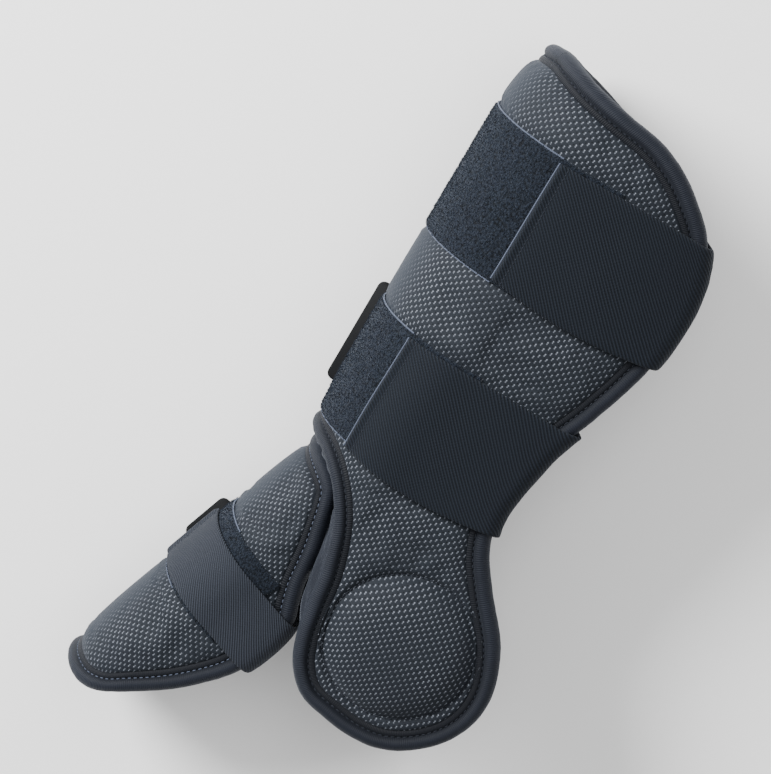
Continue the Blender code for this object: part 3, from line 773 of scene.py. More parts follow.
def strap_piece(name, skin, loop, low, high, near_g, end_depth, panel_end, bows, thick, hem,
                materials, seed):
    """A flat elastic strap with rounded edges and a hem folded over at its near end."""
    width = high - low
    # Columns: share across, inner lift, thickness share
    inset = 0.55 / width
    cross = [(0.0, 0.75, 0.30), (inset, 0.25, 0.75), (3.2 * inset, 0.0, 0.97)]
    cross += [(x, 0.0, 1.0) for x in np.linspace(8 * inset, 1 - 8 * inset, 17)]
    cross += [(1 - a, b, c) for a, b, c in reversed(cross[:3])]
    dense = []
    for share, _, _ in cross:
        v = low + share * width
        p, n = strap_line(skin, loop, v, near_g, end_depth, panel_end)
        dense.append(bend_through(np.column_stack([p, n]), False, 8))
    lengths = [np.linalg.norm(np.diff(d[:, :3], axis=0), axis=1).sum() for d in dense]
    count = round(np.mean(lengths) / STRAP_STEP)
    lines = np.array([even_steps(d, count)[0] for d in dense])
    far = np.linspace(0, np.mean(lengths), count)
    near_run = edge_girth(loop, 1, (low + high) / 2) - near_g
    arch = np.sin(np.clip(far / near_run, 0, 1) * math.pi)
    along3 = np.array([*skin.along, 0.0])
    inner, outer, weave = [], [], []
    doubled = 1 + 0.55 * (1 - ease(far, hem - 0.7, hem + 0.5))
    tip = np.sqrt(np.clip(far / 1.1, 0.06, 1))
    tip = np.minimum(tip, np.sqrt(np.clip((far[-1] - far) / 1.1, 0.06, 1)))
    for (share, lift, part), line in zip(cross, lines):
        p, n = line[:, :3], line[:, 3:]
        n = n / np.linalg.norm(n, axis=1, keepdims=True)
        top_bow, low_bow = bows
        bow = (top_bow * share + low_bow * (1 - share)) * arch
        p = p + along3 * bow[:, None]
        wave = 0.22 * ripple(np.column_stack([far, 0 * far + share * width, 0 * far]), 26.0, seed)
        wave = wave + 0.12
        inner.append(p + n * (lift * thick * 0.5 + wave)[:, None])
        full = thick * part * doubled * tip
        outer.append(p + n * (lift * thick * 0.5 + wave + full)[:, None])
        weave.append(np.column_stack([far, 0 * far + share * width, doubled - 1]))
    outer, inner, weave = (np.array(x) for x in (outer, inner, weave))
    outer[..., 2] = np.maximum(outer[..., 2], FLOOR_HEIGHT)
    section = np.concatenate([outer, inner[::-1]])
    marks = np.concatenate([weave, weave[::-1]])
    thing = tube_piece(name, section.transpose(1, 0, 2), materials, marks.transpose(1, 0, 2))
    return thing, outer, inner, far


def tab_piece(name, skin, low, high, z, start, end, materials):
    """A stiff flat tab with rounded corners, under the strap's far end."""
    near, far = min(start, end), max(start, end)
    # Columns: corner's depth, place along, and its arc's first angle
    corners = [(near, low, 180), (far, low, 270), (far, high, 0), (near, high, 90)]
    outline = []
    for d, v, first in corners:
        middle = (np.clip(d, near + TAB_CORNER, far - TAB_CORNER),
                  np.clip(v, low + TAB_CORNER, high - TAB_CORNER))
        turn = np.radians(np.linspace(first, first + 90, 6))
        outline.append(middle + TAB_CORNER * np.column_stack([np.cos(turn), np.sin(turn)]))
    outline = np.concatenate(outline)
    middle = outline.mean(0)
    rows, weave = [], []
    # Columns: how far in from the outline, height
    for inset, height in ((0.55, 0.0), (0.12, 0.18), (0.0, 0.6), (0.0, 1.1), (0.12, 1.5),
                          (0.55, 1.7)):
        away = outline - middle
        ring = middle + away * (1 - inset / np.linalg.norm(away, axis=1))[:, None]
        flat = skin.start + ring[:, 1:] * skin.along + ring[:, :1] * skin.depth
        rows.append(np.column_stack([flat, np.full(len(flat), z + height)]))
        weave.append(np.column_stack([ring, 0 * ring[:, 0]]))
    return tube_piece(name, np.array(rows), materials, np.array(weave))


def walk(loop, g, far):
    """The place this far along the outline from its least one with that girth, and the way out."""
    v = low_edge(loop, g)
    at = int(np.hypot(loop[:, 0] - g, loop[:, 1] - v).argmin())
    turn = 1 if loop[(at + 2) % len(loop), 0] > loop[at - 2, 0] else -1
    order = [(at + turn * k) % len(loop) for k in range(len(loop) // 2)]
    steps = np.linalg.norm(np.diff(loop[order], axis=0), axis=1)
    gone = np.concatenate([[0], np.cumsum(steps)])
    out = loop_out(loop)[order]
    place = np.array([np.interp(far, gone, loop[order][:, k]) for k in (0, 1)])
    away = np.array([np.interp(far, gone, out[:, k]) for k in (0, 1)])
    return place, away / np.linalg.norm(away)


def gusset_piece(name, shin, loop, foot, foot_edge, materials):
    """The wrinkled stretch cloth from under the shin's rolled edge to under the foot's."""
    under = UNDER_ROLL
    rows = []
    for share in np.linspace(*GUSSET_SPAN, 90):
        g, f = share * shin.quarter, share * foot.quarter
        top, low = low_edge(loop, g), low_edge(foot_edge, f)
        line = [(shin, g, top + 8, under), (shin, g, top + 1.5, under + 2.2),
                (shin, g, top - 3, under + 3.0), (foot, f, low - 4, under + 3.4),
                (foot, f, low + 1, under + 2.0), (foot, f, low + 8, under)]
        keys = np.array([s.lift(a, v, h) for s, a, v, h in line])
        rows.append(even_steps(bend_through(keys, False, 10), GUSSET_COLUMNS)[0])
    for share in np.linspace(0, 1, 34)[1:]:
        top, top_out = walk(loop, GUSSET_SPAN[1] * shin.quarter, share * GUSSET_DOWN[0])
        low, low_out = walk(foot_edge, GUSSET_SPAN[1] * foot.quarter, share * GUSSET_DOWN[1])
        line = [(shin, *(top - top_out * 6), under), (shin, *(top - top_out), under + 1.2),
                (foot, *(low - low_out), under + 1.2), (foot, *(low - low_out * 6), under)]
        keys = np.array([s.lift(a, v, h) for s, a, v, h in line])
        rows.append(even_steps(bend_through(keys, False, 10), GUSSET_COLUMNS)[0])
    grid = np.array(rows)
    count = len(rows)
    a = np.gradient(grid, axis=0)
    b = np.gradient(grid, axis=1)
    n = np.cross(a, b)
    n /= np.maximum(np.linalg.norm(n, axis=2, keepdims=True), 1e-9)
    if n[45, 23] @ (grid[45, 23] - np.array([40.0, -60.0, 0.0])) < 0:
        n = -n
    share = np.linspace(0, 1, GUSSET_COLUMNS)[None, :]
    around = np.linspace(0, 1.37, count)[:, None]
    hold = np.sin(share * math.pi) ** 0.7
    folds = (1.3 * np.sin(around * 34 + 2.2 * np.sin(share * 3.1 + around * 9))
             + 0.7 * np.sin(around * 61 + share * 4.0)
             + 0.9 * np.sin(share * 13 + around * 5))
    outer = grid + n * (folds * hold)[..., None] * 0.8
    inner = outer - n * 1.6
    g, v = np.meshgrid(np.linspace(0, 60, GUSSET_COLUMNS), np.linspace(0, 246, count))
    flat = np.column_stack([g.ravel(), v.ravel(), 0 * g.ravel()])
    size = (np.linalg.norm(np.diff(grid, axis=1), axis=2).sum(1).mean(),
            np.linalg.norm(np.diff(grid, axis=0), axis=2).sum(0).mean())
    return shell_piece(name, outer, inner, flat, materials), size


# Materials


def colour(red, green, blue):
    """A display colour, 0 to 255, as the linear values that a shader takes."""
    values = [c / 255 for c in (red, green, blue)]
    return tuple(c / 12.92 if c <= 0.04045 else ((c + 0.055) / 1.055) ** 2.4 for c in values)


def add(tree, kind, inputs=None, **settings):
    """A node with its settings, its input values and its input links."""
    n = tree.nodes.new(kind)
    for key, value in settings.items():
        setattr(n, key, value)
    for key, value in (inputs or {}).items():
        if isinstance(value, bpy.types.NodeSocket):
            tree.links.new(value, n.inputs[key])
        else:
            n.inputs[key].default_value = value
    return n


def calc(tree, operation, *values, clamp=False):
    inputs = dict(enumerate(values))
    return add(tree, "ShaderNodeMath", inputs, operation=operation, use_clamp=clamp).outputs[0]


def shader_group(name, inputs, outputs, fill):
    """A shader node group: float inputs with defaults after one Vector, and named outputs."""
    if name in bpy.data.node_groups:
        return bpy.data.node_groups[name]
    tree = bpy.data.node_groups.new(name, "ShaderNodeTree")
    tree.interface.new_socket("Vector", in_out="INPUT", socket_type="NodeSocketVector")
    for key, value in inputs:
        made = tree.interface.new_socket(key, in_out="INPUT", socket_type="NodeSocketFloat")
        made.default_value = value
    for key in outputs:
        tree.interface.new_socket(key, in_out="OUTPUT", socket_type="NodeSocketFloat")
    source = tree.nodes.new("NodeGroupInput")
    target = tree.nodes.new("NodeGroupOutput")
    for key, socket in fill(tree, source.outputs).items():
        tree.links.new(socket, target.inputs[key])
    return tree


def dash_weave():
    """Staggered short dashes of light yarn, as in a spacer mesh."""
    def fill(tree, given):
        split = add(tree, "ShaderNodeSeparateXYZ", {0: given["Vector"]})
        wobble = add(tree, "ShaderNodeTexNoise", {"Vector": given["Vector"], "Scale": 0.09,
                                                  "Detail": 1.0})
        drift = calc(tree, "MULTIPLY_ADD", wobble.outputs["Fac"], 1.4, -0.7)
        x = calc(tree, "DIVIDE", calc(tree, "ADD", split.outputs[0], drift), given["Girth Pitch"])
        y = calc(tree, "DIVIDE", split.outputs[1], given["Along Pitch"])
        marks = {}
        # Columns: shift across and along (shares of a pitch), strength, which output
        for across, along, gain, key in ((0.0, 0.0, 1.0, "Mask"), (0.5, 0.5, 1.0, "Mask"),
                                         (0.03, 0.23, 0.6, "Mask"), (0.53, 0.73, 0.6, "Mask"),
                                         (0.27, 0.12, 1.0, "Hole"), (0.77, 0.62, 1.0, "Hole")):
            u = calc(tree, "SUBTRACT", calc(tree, "FRACT", calc(tree, "ADD", x, across)), 0.5)
            w = calc(tree, "SUBTRACT", calc(tree, "FRACT", calc(tree, "ADD", y, along)), 0.5)
            u = calc(tree, "DIVIDE", calc(tree, "MULTIPLY", u, given["Girth Pitch"]),
                     given["Dash Width"])
            w = calc(tree, "DIVIDE", calc(tree, "MULTIPLY", w, given["Along Pitch"]),
                     given["Dash Length"])
            far = calc(tree, "SQRT", calc(tree, "ADD", calc(tree, "MULTIPLY", u, u),
                                          calc(tree, "MULTIPLY", w, w)))
            spot = calc(tree, "SUBTRACT", 1.4, calc(tree, "MULTIPLY", far, 1.4), clamp=True)
            spot = calc(tree, "MULTIPLY", spot, gain)
            marks[key] = calc(tree, "MAXIMUM", marks[key], spot) if key in marks else spot
        return marks

    sizes = [("Girth Pitch", 4.5), ("Along Pitch", 3.9), ("Dash Width", 0.52),
             ("Dash Length", 0.60)]
    return shader_group("dash_weave", sizes, ["Mask", "Hole"], fill)


def slant_ribs():
    """Fine slanting ribs, crossed by a fainter set."""
    def fill(tree, given):
        split = add(tree, "ShaderNodeSeparateXYZ", {0: given["Vector"]})
        c = calc(tree, "COSINE", given["Angle"])
        s = calc(tree, "SINE", given["Angle"])
        waves = []
        for sign in (1, -1):
            t = calc(tree, "ADD", calc(tree, "MULTIPLY", split.outputs[0], c),
                     calc(tree, "MULTIPLY", calc(tree, "MULTIPLY", split.outputs[1], s), sign))
            t = calc(tree, "MULTIPLY", calc(tree, "DIVIDE", t, given["Pitch"]), 2 * math.pi)
            waves.append(calc(tree, "MULTIPLY_ADD", calc(tree, "COSINE", t), 0.5, 0.5))
        crossed = calc(tree, "MULTIPLY", waves[1], given["Cross"])
        main = calc(tree, "MULTIPLY", waves[0], calc(tree, "SUBTRACT", 1.0, given["Cross"]))
        return {"Height": calc(tree, "ADD", main, crossed)}

    sizes = [("Pitch", 1.55), ("Angle", math.radians(46)), ("Cross", 0.10)]
    return shader_group("slant_ribs", sizes, ["Height"], fill)


def cloth_age():
    """Handled cloth: a slow drift in tone, fine fibre speckle and pale lint."""
    def fill(tree, given):
        drift = add(tree, "ShaderNodeTexNoise", {"Vector": given["Vector"], "Scale": 0.03,
                                                 "Detail": 3.0})
        fibre = add(tree, "ShaderNodeTexNoise", {"Vector": given["Vector"], "Scale": 1.6,
                                                 "Detail": 4.0, "Roughness": 0.7})
        lint = add(tree, "ShaderNodeTexNoise", {"Vector": given["Vector"], "Scale": 0.55,
                                                "Detail": 5.0, "Roughness": 0.75})
        rare = calc(tree, "SUBTRACT", lint.outputs["Fac"], 0.66)
        rare = calc(tree, "MULTIPLY", rare, 6.0, clamp=True)
        return {"Drift": drift.outputs["Fac"], "Fibre": fibre.outputs["Fac"], "Lint": rare}

    return shader_group("cloth_age", [], ["Drift", "Fibre", "Lint"], fill)


def place(tree, group, inputs):
    n = tree.nodes.new("ShaderNodeGroup")
    n.node_tree = group
    for key, value in inputs.items():
        if isinstance(value, bpy.types.NodeSocket):
            tree.links.new(value, n.inputs[key])
        else:
            n.inputs[key].default_value = value
    return n.outputs


def blend(tree, share, first, second):
    """Mix of two colours, which are sockets or plain colours."""
    n = tree.nodes.new("ShaderNodeMix")
    n.data_type = "RGBA"
    for key, value in ((0, share), (6, first), (7, second)):
        if isinstance(value, bpy.types.NodeSocket):
            tree.links.new(value, n.inputs[key])
        else:
            n.inputs[key].default_value = value if key == 0 else (*value[:3], 1)
    return n.outputs[2]


def tinted(shade, gain):
    return tuple(min(1.0, c * gain) for c in shade[:3])


def begin(name, rough, sheen, sheen_tint):
    """A new material with its shader's even values set, its weave coordinates and its cloth age."""
    mat = bpy.data.materials.new(name)
    mat.use_nodes = True
    tree = mat.node_tree
    shader = tree.nodes["Principled BSDF"]
    shader.inputs["Roughness"].default_value = rough
    shader.inputs["Specular IOR Level"].default_value = 0.14
    shader.inputs["Sheen Weight"].default_value = sheen
    shader.inputs["Sheen Roughness"].default_value = 0.45
    shader.inputs["Sheen Tint"].default_value = (*sheen_tint[:3], 1)
    weave = add(tree, "ShaderNodeAttribute", attribute_name="weave")
    age = place(tree, cloth_age(), {"Vector": weave.outputs["Vector"]})
    return mat, tree, shader, weave.outputs["Vector"], age


def bump(tree, shader, height, distance):
    n = add(tree, "ShaderNodeBump", {"Height": height, "Strength": 1.0, "Distance": distance * MM})
    tree.links.new(n.outputs["Normal"], shader.inputs["Normal"])


def mesh_cloth(name, ground, dash, sheen):
    mat, tree, shader, weave, age = begin(name, 0.72, sheen, (0.62, 0.68, 0.80))
    marks = place(tree, dash_weave(), {"Vector": weave})
    mask = marks["Mask"]
    # Painted sheen towards the nose: where the third weave value falls to 0, the dashes and holes
    # fade and the ground turns to the lighter plain colour below.
    nose_sheen_fade = add(tree, "ShaderNodeSeparateXYZ", {0: weave}).outputs[2]
    uneven = calc(tree, "MULTIPLY_ADD", age["Drift"], 1.3, 0.1, clamp=True)
    uneven = calc(tree, "MULTIPLY", uneven, calc(tree, "MULTIPLY_ADD", age["Fibre"], 1.2, 0.35))
    shown = calc(tree, "MULTIPLY", calc(tree, "MULTIPLY", mask, nose_sheen_fade), uneven)
    base = blend(tree, age["Fibre"], tinted(ground, 0.55), tinted(ground, 1.6))
    # The lighter ground of the painted sheen on the nose
    smooth = blend(tree, age["Fibre"], tinted(ground, 1.2), tinted(ground, 2.3))
    base = blend(tree, nose_sheen_fade, smooth, base)
    # Painted shade: the mesh's holes are darkened.
    hole = calc(tree, "MULTIPLY", calc(tree, "MULTIPLY", marks["Hole"], nose_sheen_fade), 0.8)
    base = blend(tree, hole, base, tinted(ground, 0.2))
    tree.links.new(blend(tree, shown, base, dash), shader.inputs["Base Color"])
    height = calc(tree, "MULTIPLY_ADD", age["Fibre"], 0.45, calc(tree, "MULTIPLY", mask, 0.6))
    height = calc(tree, "SUBTRACT", height, calc(tree, "MULTIPLY", hole, 0.5))
    bump(tree, shader, height, 0.35)
    return mat


def knit_cloth(name, shade, sheen):
    """Smooth stretch knit with fine ribs across its length."""
    mat, tree, shader, weave, age = begin(name, 0.62, sheen, (0.60, 0.66, 0.78))
    ribs = place(tree, slant_ribs(), {"Vector": weave, "Pitch": 1.15, "Angle": 0.0, "Cross": 0.0})
    tone = calc(tree, "MULTIPLY_ADD", age["Drift"], 0.8, calc(tree, "MULTIPLY", age["Fibre"], 0.3))
    base = blend(tree, tone, tinted(shade, 0.55), tinted(shade, 1.7))
    # Painted highlight: the crests of the ribs are lightened.
    base = blend(tree, calc(tree, "MULTIPLY", ribs["Height"], 0.25), base, tinted(shade, 2.4))
    base = blend(tree, calc(tree, "MULTIPLY", age["Lint"], 0.10), base, (0.16, 0.17, 0.20))
    # Painted shade in the groove beside the roll: where the third weave value is 0, on the flat
    # sewn strip, the knit is darker. The gusset's weave is 0 throughout, so it takes the darker
    # colour all over.
    outside_groove_shade = add(tree, "ShaderNodeSeparateXYZ", {0: weave}).outputs[2]
    base = blend(tree, outside_groove_shade, tinted(shade, 0.6), base)
    tree.links.new(base, shader.inputs["Base Color"])
    height = calc(tree, "MULTIPLY", age["Fibre"], 0.6)
    height = calc(tree, "MULTIPLY_ADD", ribs["Height"], 0.6, height)
    bump(tree, shader, height, 0.26)
    return mat


def elastic_cloth(name, shade, pitch, gain, lean):
    mat, tree, shader, weave, age = begin(name, 0.78, 0.06, (0.58, 0.62, 0.72))
    ribs = place(tree, slant_ribs(), {"Vector": weave, "Pitch": pitch,
                                      "Angle": math.radians(lean)})["Height"]
    height = calc(tree, "MULTIPLY_ADD", age["Fibre"], 0.45, calc(tree, "MULTIPLY", ribs, 0.75))
    # Painted shade and highlight: the colour runs from dark in the ribs' grooves to light on their
    # crests.
    base = blend(tree, calc(tree, "SUBTRACT", height, 0.15, clamp=True), tinted(shade, 0.15 * gain),
                 tinted(shade, 2.3 * gain))
    drift = calc(tree, "MULTIPLY_ADD", age["Drift"], 0.9, -0.2, clamp=True)
    base = blend(tree, drift, base, tinted(shade, 1.25 * gain))
    base = blend(tree, calc(tree, "MULTIPLY", age["Lint"], 0.10), base, (0.14, 0.15, 0.17))
    tree.links.new(base, shader.inputs["Base Color"])
    bump(tree, shader, height, 0.6)
    return mat


def pile_cloth(name, shade):
    mat, tree, shader, weave, age = begin(name, 0.92, 0.10, (0.50, 0.58, 0.72))
    curls = add(tree, "ShaderNodeTexVoronoi", {"Vector": weave, "Scale": 0.85})
    tuft = calc(tree, "SUBTRACT", 1.0, curls.outputs["Distance"], clamp=True)
    tone = calc(tree, "MULTIPLY", tuft, age["Fibre"])
    base = blend(tree, calc(tree, "MULTIPLY", tone, 1.9, clamp=True), tinted(shade, 0.12),
                 tinted(shade, 2.4))
    tree.links.new(blend(tree, calc(tree, "MULTIPLY", age["Lint"], 0.35), base, tinted(shade, 4.0)),
                   shader.inputs["Base Color"])
    bump(tree, shader, calc(tree, "MULTIPLY_ADD", tuft, 1.0, age["Fibre"]), 1.1)
    return mat


def plain_cloth(name, shade, rough, sheen, depth):
    mat, tree, shader, _, age = begin(name, rough, sheen, (0.55, 0.60, 0.70))
    base = blend(tree, age["Fibre"], tinted(shade, 0.5), tinted(shade, 1.6))
    tree.links.new(blend(tree, calc(tree, "MULTIPLY", age["Drift"], 0.5), base, tinted(shade, 1.5)),
                   shader.inputs["Base Color"])
    bump(tree, shader, age["Fibre"], depth)
    return mat


# Geometry node trees


def node_tree(name, numbers):
    """A geometry node tree with a Geometry, a Material and named number inputs."""
    tree = bpy.data.node_groups.new(name, "GeometryNodeTree")
    tree.interface.new_socket("Geometry", in_out="INPUT", socket_type="NodeSocketGeometry")
    for key, value in numbers:
        made = tree.interface.new_socket(key, in_out="INPUT", socket_type="NodeSocketFloat")
        made.default_value = value
    tree.interface.new_socket("Material", in_out="INPUT", socket_type="NodeSocketMaterial")
    tree.interface.new_socket("Geometry", in_out="OUTPUT", socket_type="NodeSocketGeometry")
    return tree, tree.nodes.new("NodeGroupInput").outputs, tree.nodes.new("NodeGroupOutput").inputs


def stitch_tree():
    """Even thread stitches laid along a line, flat to the cloth under them."""
    if "stitch_row" in bpy.data.node_groups:
        return bpy.data.node_groups["stitch_row"]
    tree, given, result = node_tree("stitch_row", [("Pitch", 0.003), ("Length", 0.0022),
                                                   ("Thickness", 0.0005)])
    line = add(tree, "GeometryNodeMeshToCurve", {"Mesh": given["Geometry"]})
    spaced = add(tree, "GeometryNodeResampleCurve", {"Curve": line.outputs[0],
                                                     "Length": given["Pitch"]}, mode="LENGTH")
    facing = add(tree, "GeometryNodeInputNamedAttribute", {"Name": "facing"},
                 data_type="FLOAT_VECTOR").outputs[0]
    run = tree.nodes.new("GeometryNodeInputTangent").outputs[0]
    up = add(tree, "FunctionNodeAlignRotationToVector", {"Vector": facing}, axis="Z")
    turned = add(tree, "FunctionNodeAlignRotationToVector",
                 {"Rotation": up.outputs[0], "Vector": run}, axis="X", pivot_axis="Z")
    thread = add(tree, "GeometryNodeMeshUVSphere", {"Segments": 6, "Rings": 5, "Radius": 0.5})
    size = add(tree, "ShaderNodeCombineXYZ", {0: given["Length"], 1: given["Thickness"],
                                              2: given["Thickness"]})
    rows = add(tree, "GeometryNodeInstanceOnPoints", {
        "Points": spaced.outputs[0], "Instance": thread.outputs["Mesh"],
        "Rotation": turned.outputs[0], "Scale": size.outputs[0]})
    real = add(tree, "GeometryNodeRealizeInstances", {"Geometry": rows.outputs[0]})
    smooth = add(tree, "GeometryNodeSetShadeSmooth", {0: real.outputs[0]})
    dressed = add(tree, "GeometryNodeSetMaterial", {"Geometry": smooth.outputs[0],
                                                    "Material": given["Material"]})
    tree.links.new(dressed.outputs[0], result[0])
    return tree


def pile_tree():
    """Short leaning tufts scattered over a panel's outer face."""
    if "pile_tufts" in bpy.data.node_groups:
        return bpy.data.node_groups["pile_tufts"]
    tree, given, result = node_tree("pile_tufts", [("Density", 750000.0), ("Height", 0.0009),
                                                   ("Radius", 0.00030)])
    points = add(tree, "GeometryNodeDistributePointsOnFaces", {
        "Mesh": given["Geometry"], "Density": given["Density"], "Seed": 7})
    tuft = add(tree, "GeometryNodeMeshCone", {"Vertices": 3, "Radius Bottom": given["Radius"],
                                              "Depth": given["Height"]}, fill_type="NONE")
    lean = add(tree, "FunctionNodeRandomValue", {0: (-0.9, -0.9, 0.0), 1: (0.9, 0.9, 6.28),
                                                 "Seed": 11}, data_type="FLOAT_VECTOR")
    turned = add(tree, "FunctionNodeEulerToRotation", {0: lean.outputs[0]})
    leaning = add(tree, "FunctionNodeRotateRotation",
                  {0: points.outputs["Rotation"], 1: turned.outputs[0]}, rotation_space="LOCAL")
    size = add(tree, "FunctionNodeRandomValue", {2: 0.6, 3: 1.3, "Seed": 13}, data_type="FLOAT")
    rows = add(tree, "GeometryNodeInstanceOnPoints", {
        "Points": points.outputs["Points"], "Instance": tuft.outputs["Mesh"],
        "Rotation": leaning.outputs[0], "Scale": size.outputs[1]})
    real = add(tree, "GeometryNodeRealizeInstances", {"Geometry": rows.outputs[0]})
    dressed = add(tree, "GeometryNodeSetMaterial", {"Geometry": real.outputs[0],
                                                    "Material": given["Material"]})
    tree.links.new(dressed.outputs[0], result[0])
    return tree


def grown(thing, tree, material, **values):
    """Run a geometry node tree on an object and keep its result as the object's plain mesh."""
    modifier = thing.modifiers.new("grow", "NODES")
    modifier.node_group = tree
    for item in tree.interface.items_tree:
        if item.in_out != "INPUT" or item.name == "Geometry":
            continue
        if item.name == "Material":
            modifier[item.identifier] = material
        elif item.name.lower() in values:
            modifier[item.identifier] = values[item.name.lower()]
    bpy.context.view_layer.update()
    posed = thing.evaluated_get(bpy.context.evaluated_depsgraph_get())
    mesh = bpy.data.meshes.new_from_object(posed)
    thing.modifiers.remove(modifier)
    old = thing.data
    thing.data = mesh
    bpy.data.meshes.remove(old)
    if not len(mesh.polygons):
        raise RuntimeError(thing.name + " came out empty")
    return thing


def stitch_piece(name, lines, material, slot, pitch, length, thick):
    """One piece of stitching. Lines: (points, outward directions, closed)."""
    points, facing, edges = [], [], []
    for line, outs, closed in lines:
        first, n = len(points), len(line)
        points.extend(line)
        facing.extend(outs)
        edges.extend((first + i, first + (i + 1) % n) for i in range(n if closed else n - 1))
    mesh = bpy.data.meshes.new(name)
    mesh.from_pydata(((np.array(points) + SHIFT) * MM).tolist(), edges, [])
    data = mesh.attributes.new("facing", "FLOAT_VECTOR", "POINT")
    data.data.foreach_set("vector", np.array(facing, np.float32).ravel())
    thing = bpy.data.objects.new(name, mesh)
    bpy.context.scene.collection.objects.link(thing)
    grown(thing, stitch_tree(), material, pitch=pitch * MM, length=length * MM,
          thickness=thick * MM)
    return finish_piece(thing, slot)


# Settings


class GuardSizes(bpy.types.PropertyGroup):
    """Sizes of the cloth parts that a user may change."""

    crown: FloatProperty(name="Pad crown", description="How far a cover bulges between its edges",
                         default=0.0008, min=0.0, max=0.002, unit="LENGTH")
    swell_cap: FloatProperty(name="Swell limit", description="The most that simulated cloth moves",
                             default=0.0011, min=0.0, max=0.003, unit="LENGTH")
    strap_thick: FloatProperty(name="Strap thickness", description="Thickness of the elastic",
                               default=0.0022, min=0.001, max=0.003, unit="LENGTH")
    hem: FloatProperty(name="Strap hem", description="Length folded over at a strap's near end",
                       default=0.0042, min=0.002, max=0.01, unit="LENGTH")
    pile: FloatProperty(name="Pile height", description="Height of the panels' lumpy pile",
                        default=0.0005, min=0.0, max=0.001, unit="LENGTH")
    stitch_pitch: FloatProperty(name="Stitch pitch", description="Distance from stitch to stitch",
                                default=0.0034, min=0.001, max=0.006, unit="LENGTH")


def shade_property(name, description, shade):
    return FloatVectorProperty(name=name, description=description, default=shade, size=3,
                               min=0.0, max=1.0, subtype="COLOR")


class GuardColours(bpy.types.PropertyGroup):
    """Colours of the cloths that a user may change."""

    ground: shade_property("Mesh ground", "Ground of the mesh cloth", colour(24, 28, 34))
    dash: shade_property("Mesh dashes", "Light yarn of the mesh cloth", colour(132, 137, 147))
    knit: shade_property("Rolled edge", "Stretch knit of the rolled edges", colour(19, 22, 29))
    elastic: shade_property("Calf elastic", "Ribbed elastic of the calf straps",
                            colour(14, 18, 24))
    foot_elastic: shade_property("Foot elastic", "Ribbed elastic of the foot strap",
                                 colour(27, 30, 36))
    pile: shade_property("Pile", "Looped pile of the panels", colour(19, 24, 32))
    tab: shade_property("Tabs", "Stiff tabs on the straps' far ends", colour(14, 15, 17))
    lining: shade_property("Lining", "Cloth inside the covers", colour(20, 22, 28))
    thread: shade_property("Light thread", "Thread along the pile panels and strap ends",
                           colour(66, 72, 86))
    dark_thread: shade_property("Dark thread", "Thread of the seams", colour(25, 28, 35))


class StageSettings(bpy.types.PropertyGroup):
    """Floor, light and camera."""

    floor: shade_property("Floor", "Plain pale floor", (0.93, 0.93, 0.93))
    distance: FloatProperty(name="Camera distance", description="From the camera to its target",
                            default=1.8, min=0.5, max=5.0, unit="LENGTH")
    tilt: FloatProperty(name="Camera tilt", description="Lean off the vertical, towards the knee",
                        default=math.radians(13.5), subtype="ANGLE")
    roll: FloatProperty(name="Camera roll", description="Turn about the line of sight",
                        default=math.radians(30.75), subtype="ANGLE")
    lens: FloatProperty(name="Focal length", description="In millimetres, for a 36 mm sensor",
                        default=153.34, min=20.0, max=300.0)
    key_power: FloatProperty(name="Key light", description="Power of the soft light, upper left",
                             default=95.0, min=0.0, max=200.0, subtype="POWER")
    fill_power: FloatProperty(name="Fill light", description="Power of the broad light overhead",
                              default=22.0, min=0.0, max=200.0, subtype="POWER")
    world: FloatProperty(name="Surround", description="Strength of the even light all round",
                         default=0.62, min=0.0, max=3.0)


def cloth(name):
    """The material of that name, made once from the scene's colours."""
    if name in bpy.data.materials:
        return bpy.data.materials[name]
    c = bpy.context.scene.guard_colours
    make = {
        "spacer_mesh": lambda: mesh_cloth(name, c.ground, c.dash, 0.11),
        "roll_knit": lambda: knit_cloth(name, c.knit, 0.09),
        "calf_elastic": lambda: elastic_cloth(name, c.elastic, 1.55, 1.2, 46),
        "foot_elastic": lambda: elastic_cloth(name, c.foot_elastic, 1.30, 1.35, -47),
        "looped_pile": lambda: pile_cloth(name, c.pile),
        "stiff_tab": lambda: plain_cloth(name, c.tab, 0.6, 0.05, 0.2),
        "inner_lining": lambda: plain_cloth(name, c.lining, 0.85, 0.2, 0.25),
        "stretch_cloth": lambda: knit_cloth(name, tinted(c.knit, 2.2), 0.2),
        "light_thread": lambda: plain_cloth(name, c.thread, 0.6, 0.2, 0.05),
        "dark_thread": lambda: plain_cloth(name, c.dark_thread, 0.6, 0.2, 0.05),
    }
    return make[name]()


class LEGGUARD_OT_covers(bpy.types.Operator):
    """Make the padded shin and foot covers"""

    bl_idname = "leg_guard.covers"
    bl_label = "Padded covers"

    def execute(self, context):
        sizes = context.scene.guard_sizes
        materials = [cloth("spacer_mesh"), cloth("inner_lining")]
        shin, foot = shin_skin(), foot_skin()
        jobs = (("shin_cover_cloth", shin, shin_loop(shin, OUTLINE_STEP), shin_bands(),
                 "shin_cover", cup_centre(shin)),
                ("foot_cover_cloth", foot, foot_loop(foot, OUTLINE_STEP), foot_bands(),
                 "foot_cover", None))
        for name, skin, loop, bands, node, cup in jobs:
            thing, held = cover_piece(name, skin, loop, bands, sizes.crown / MM, materials, cup)
            swell(thing, held, sizes.swell_cap / MM)
            finish_piece(thing, node, node)
        return {"FINISHED"}


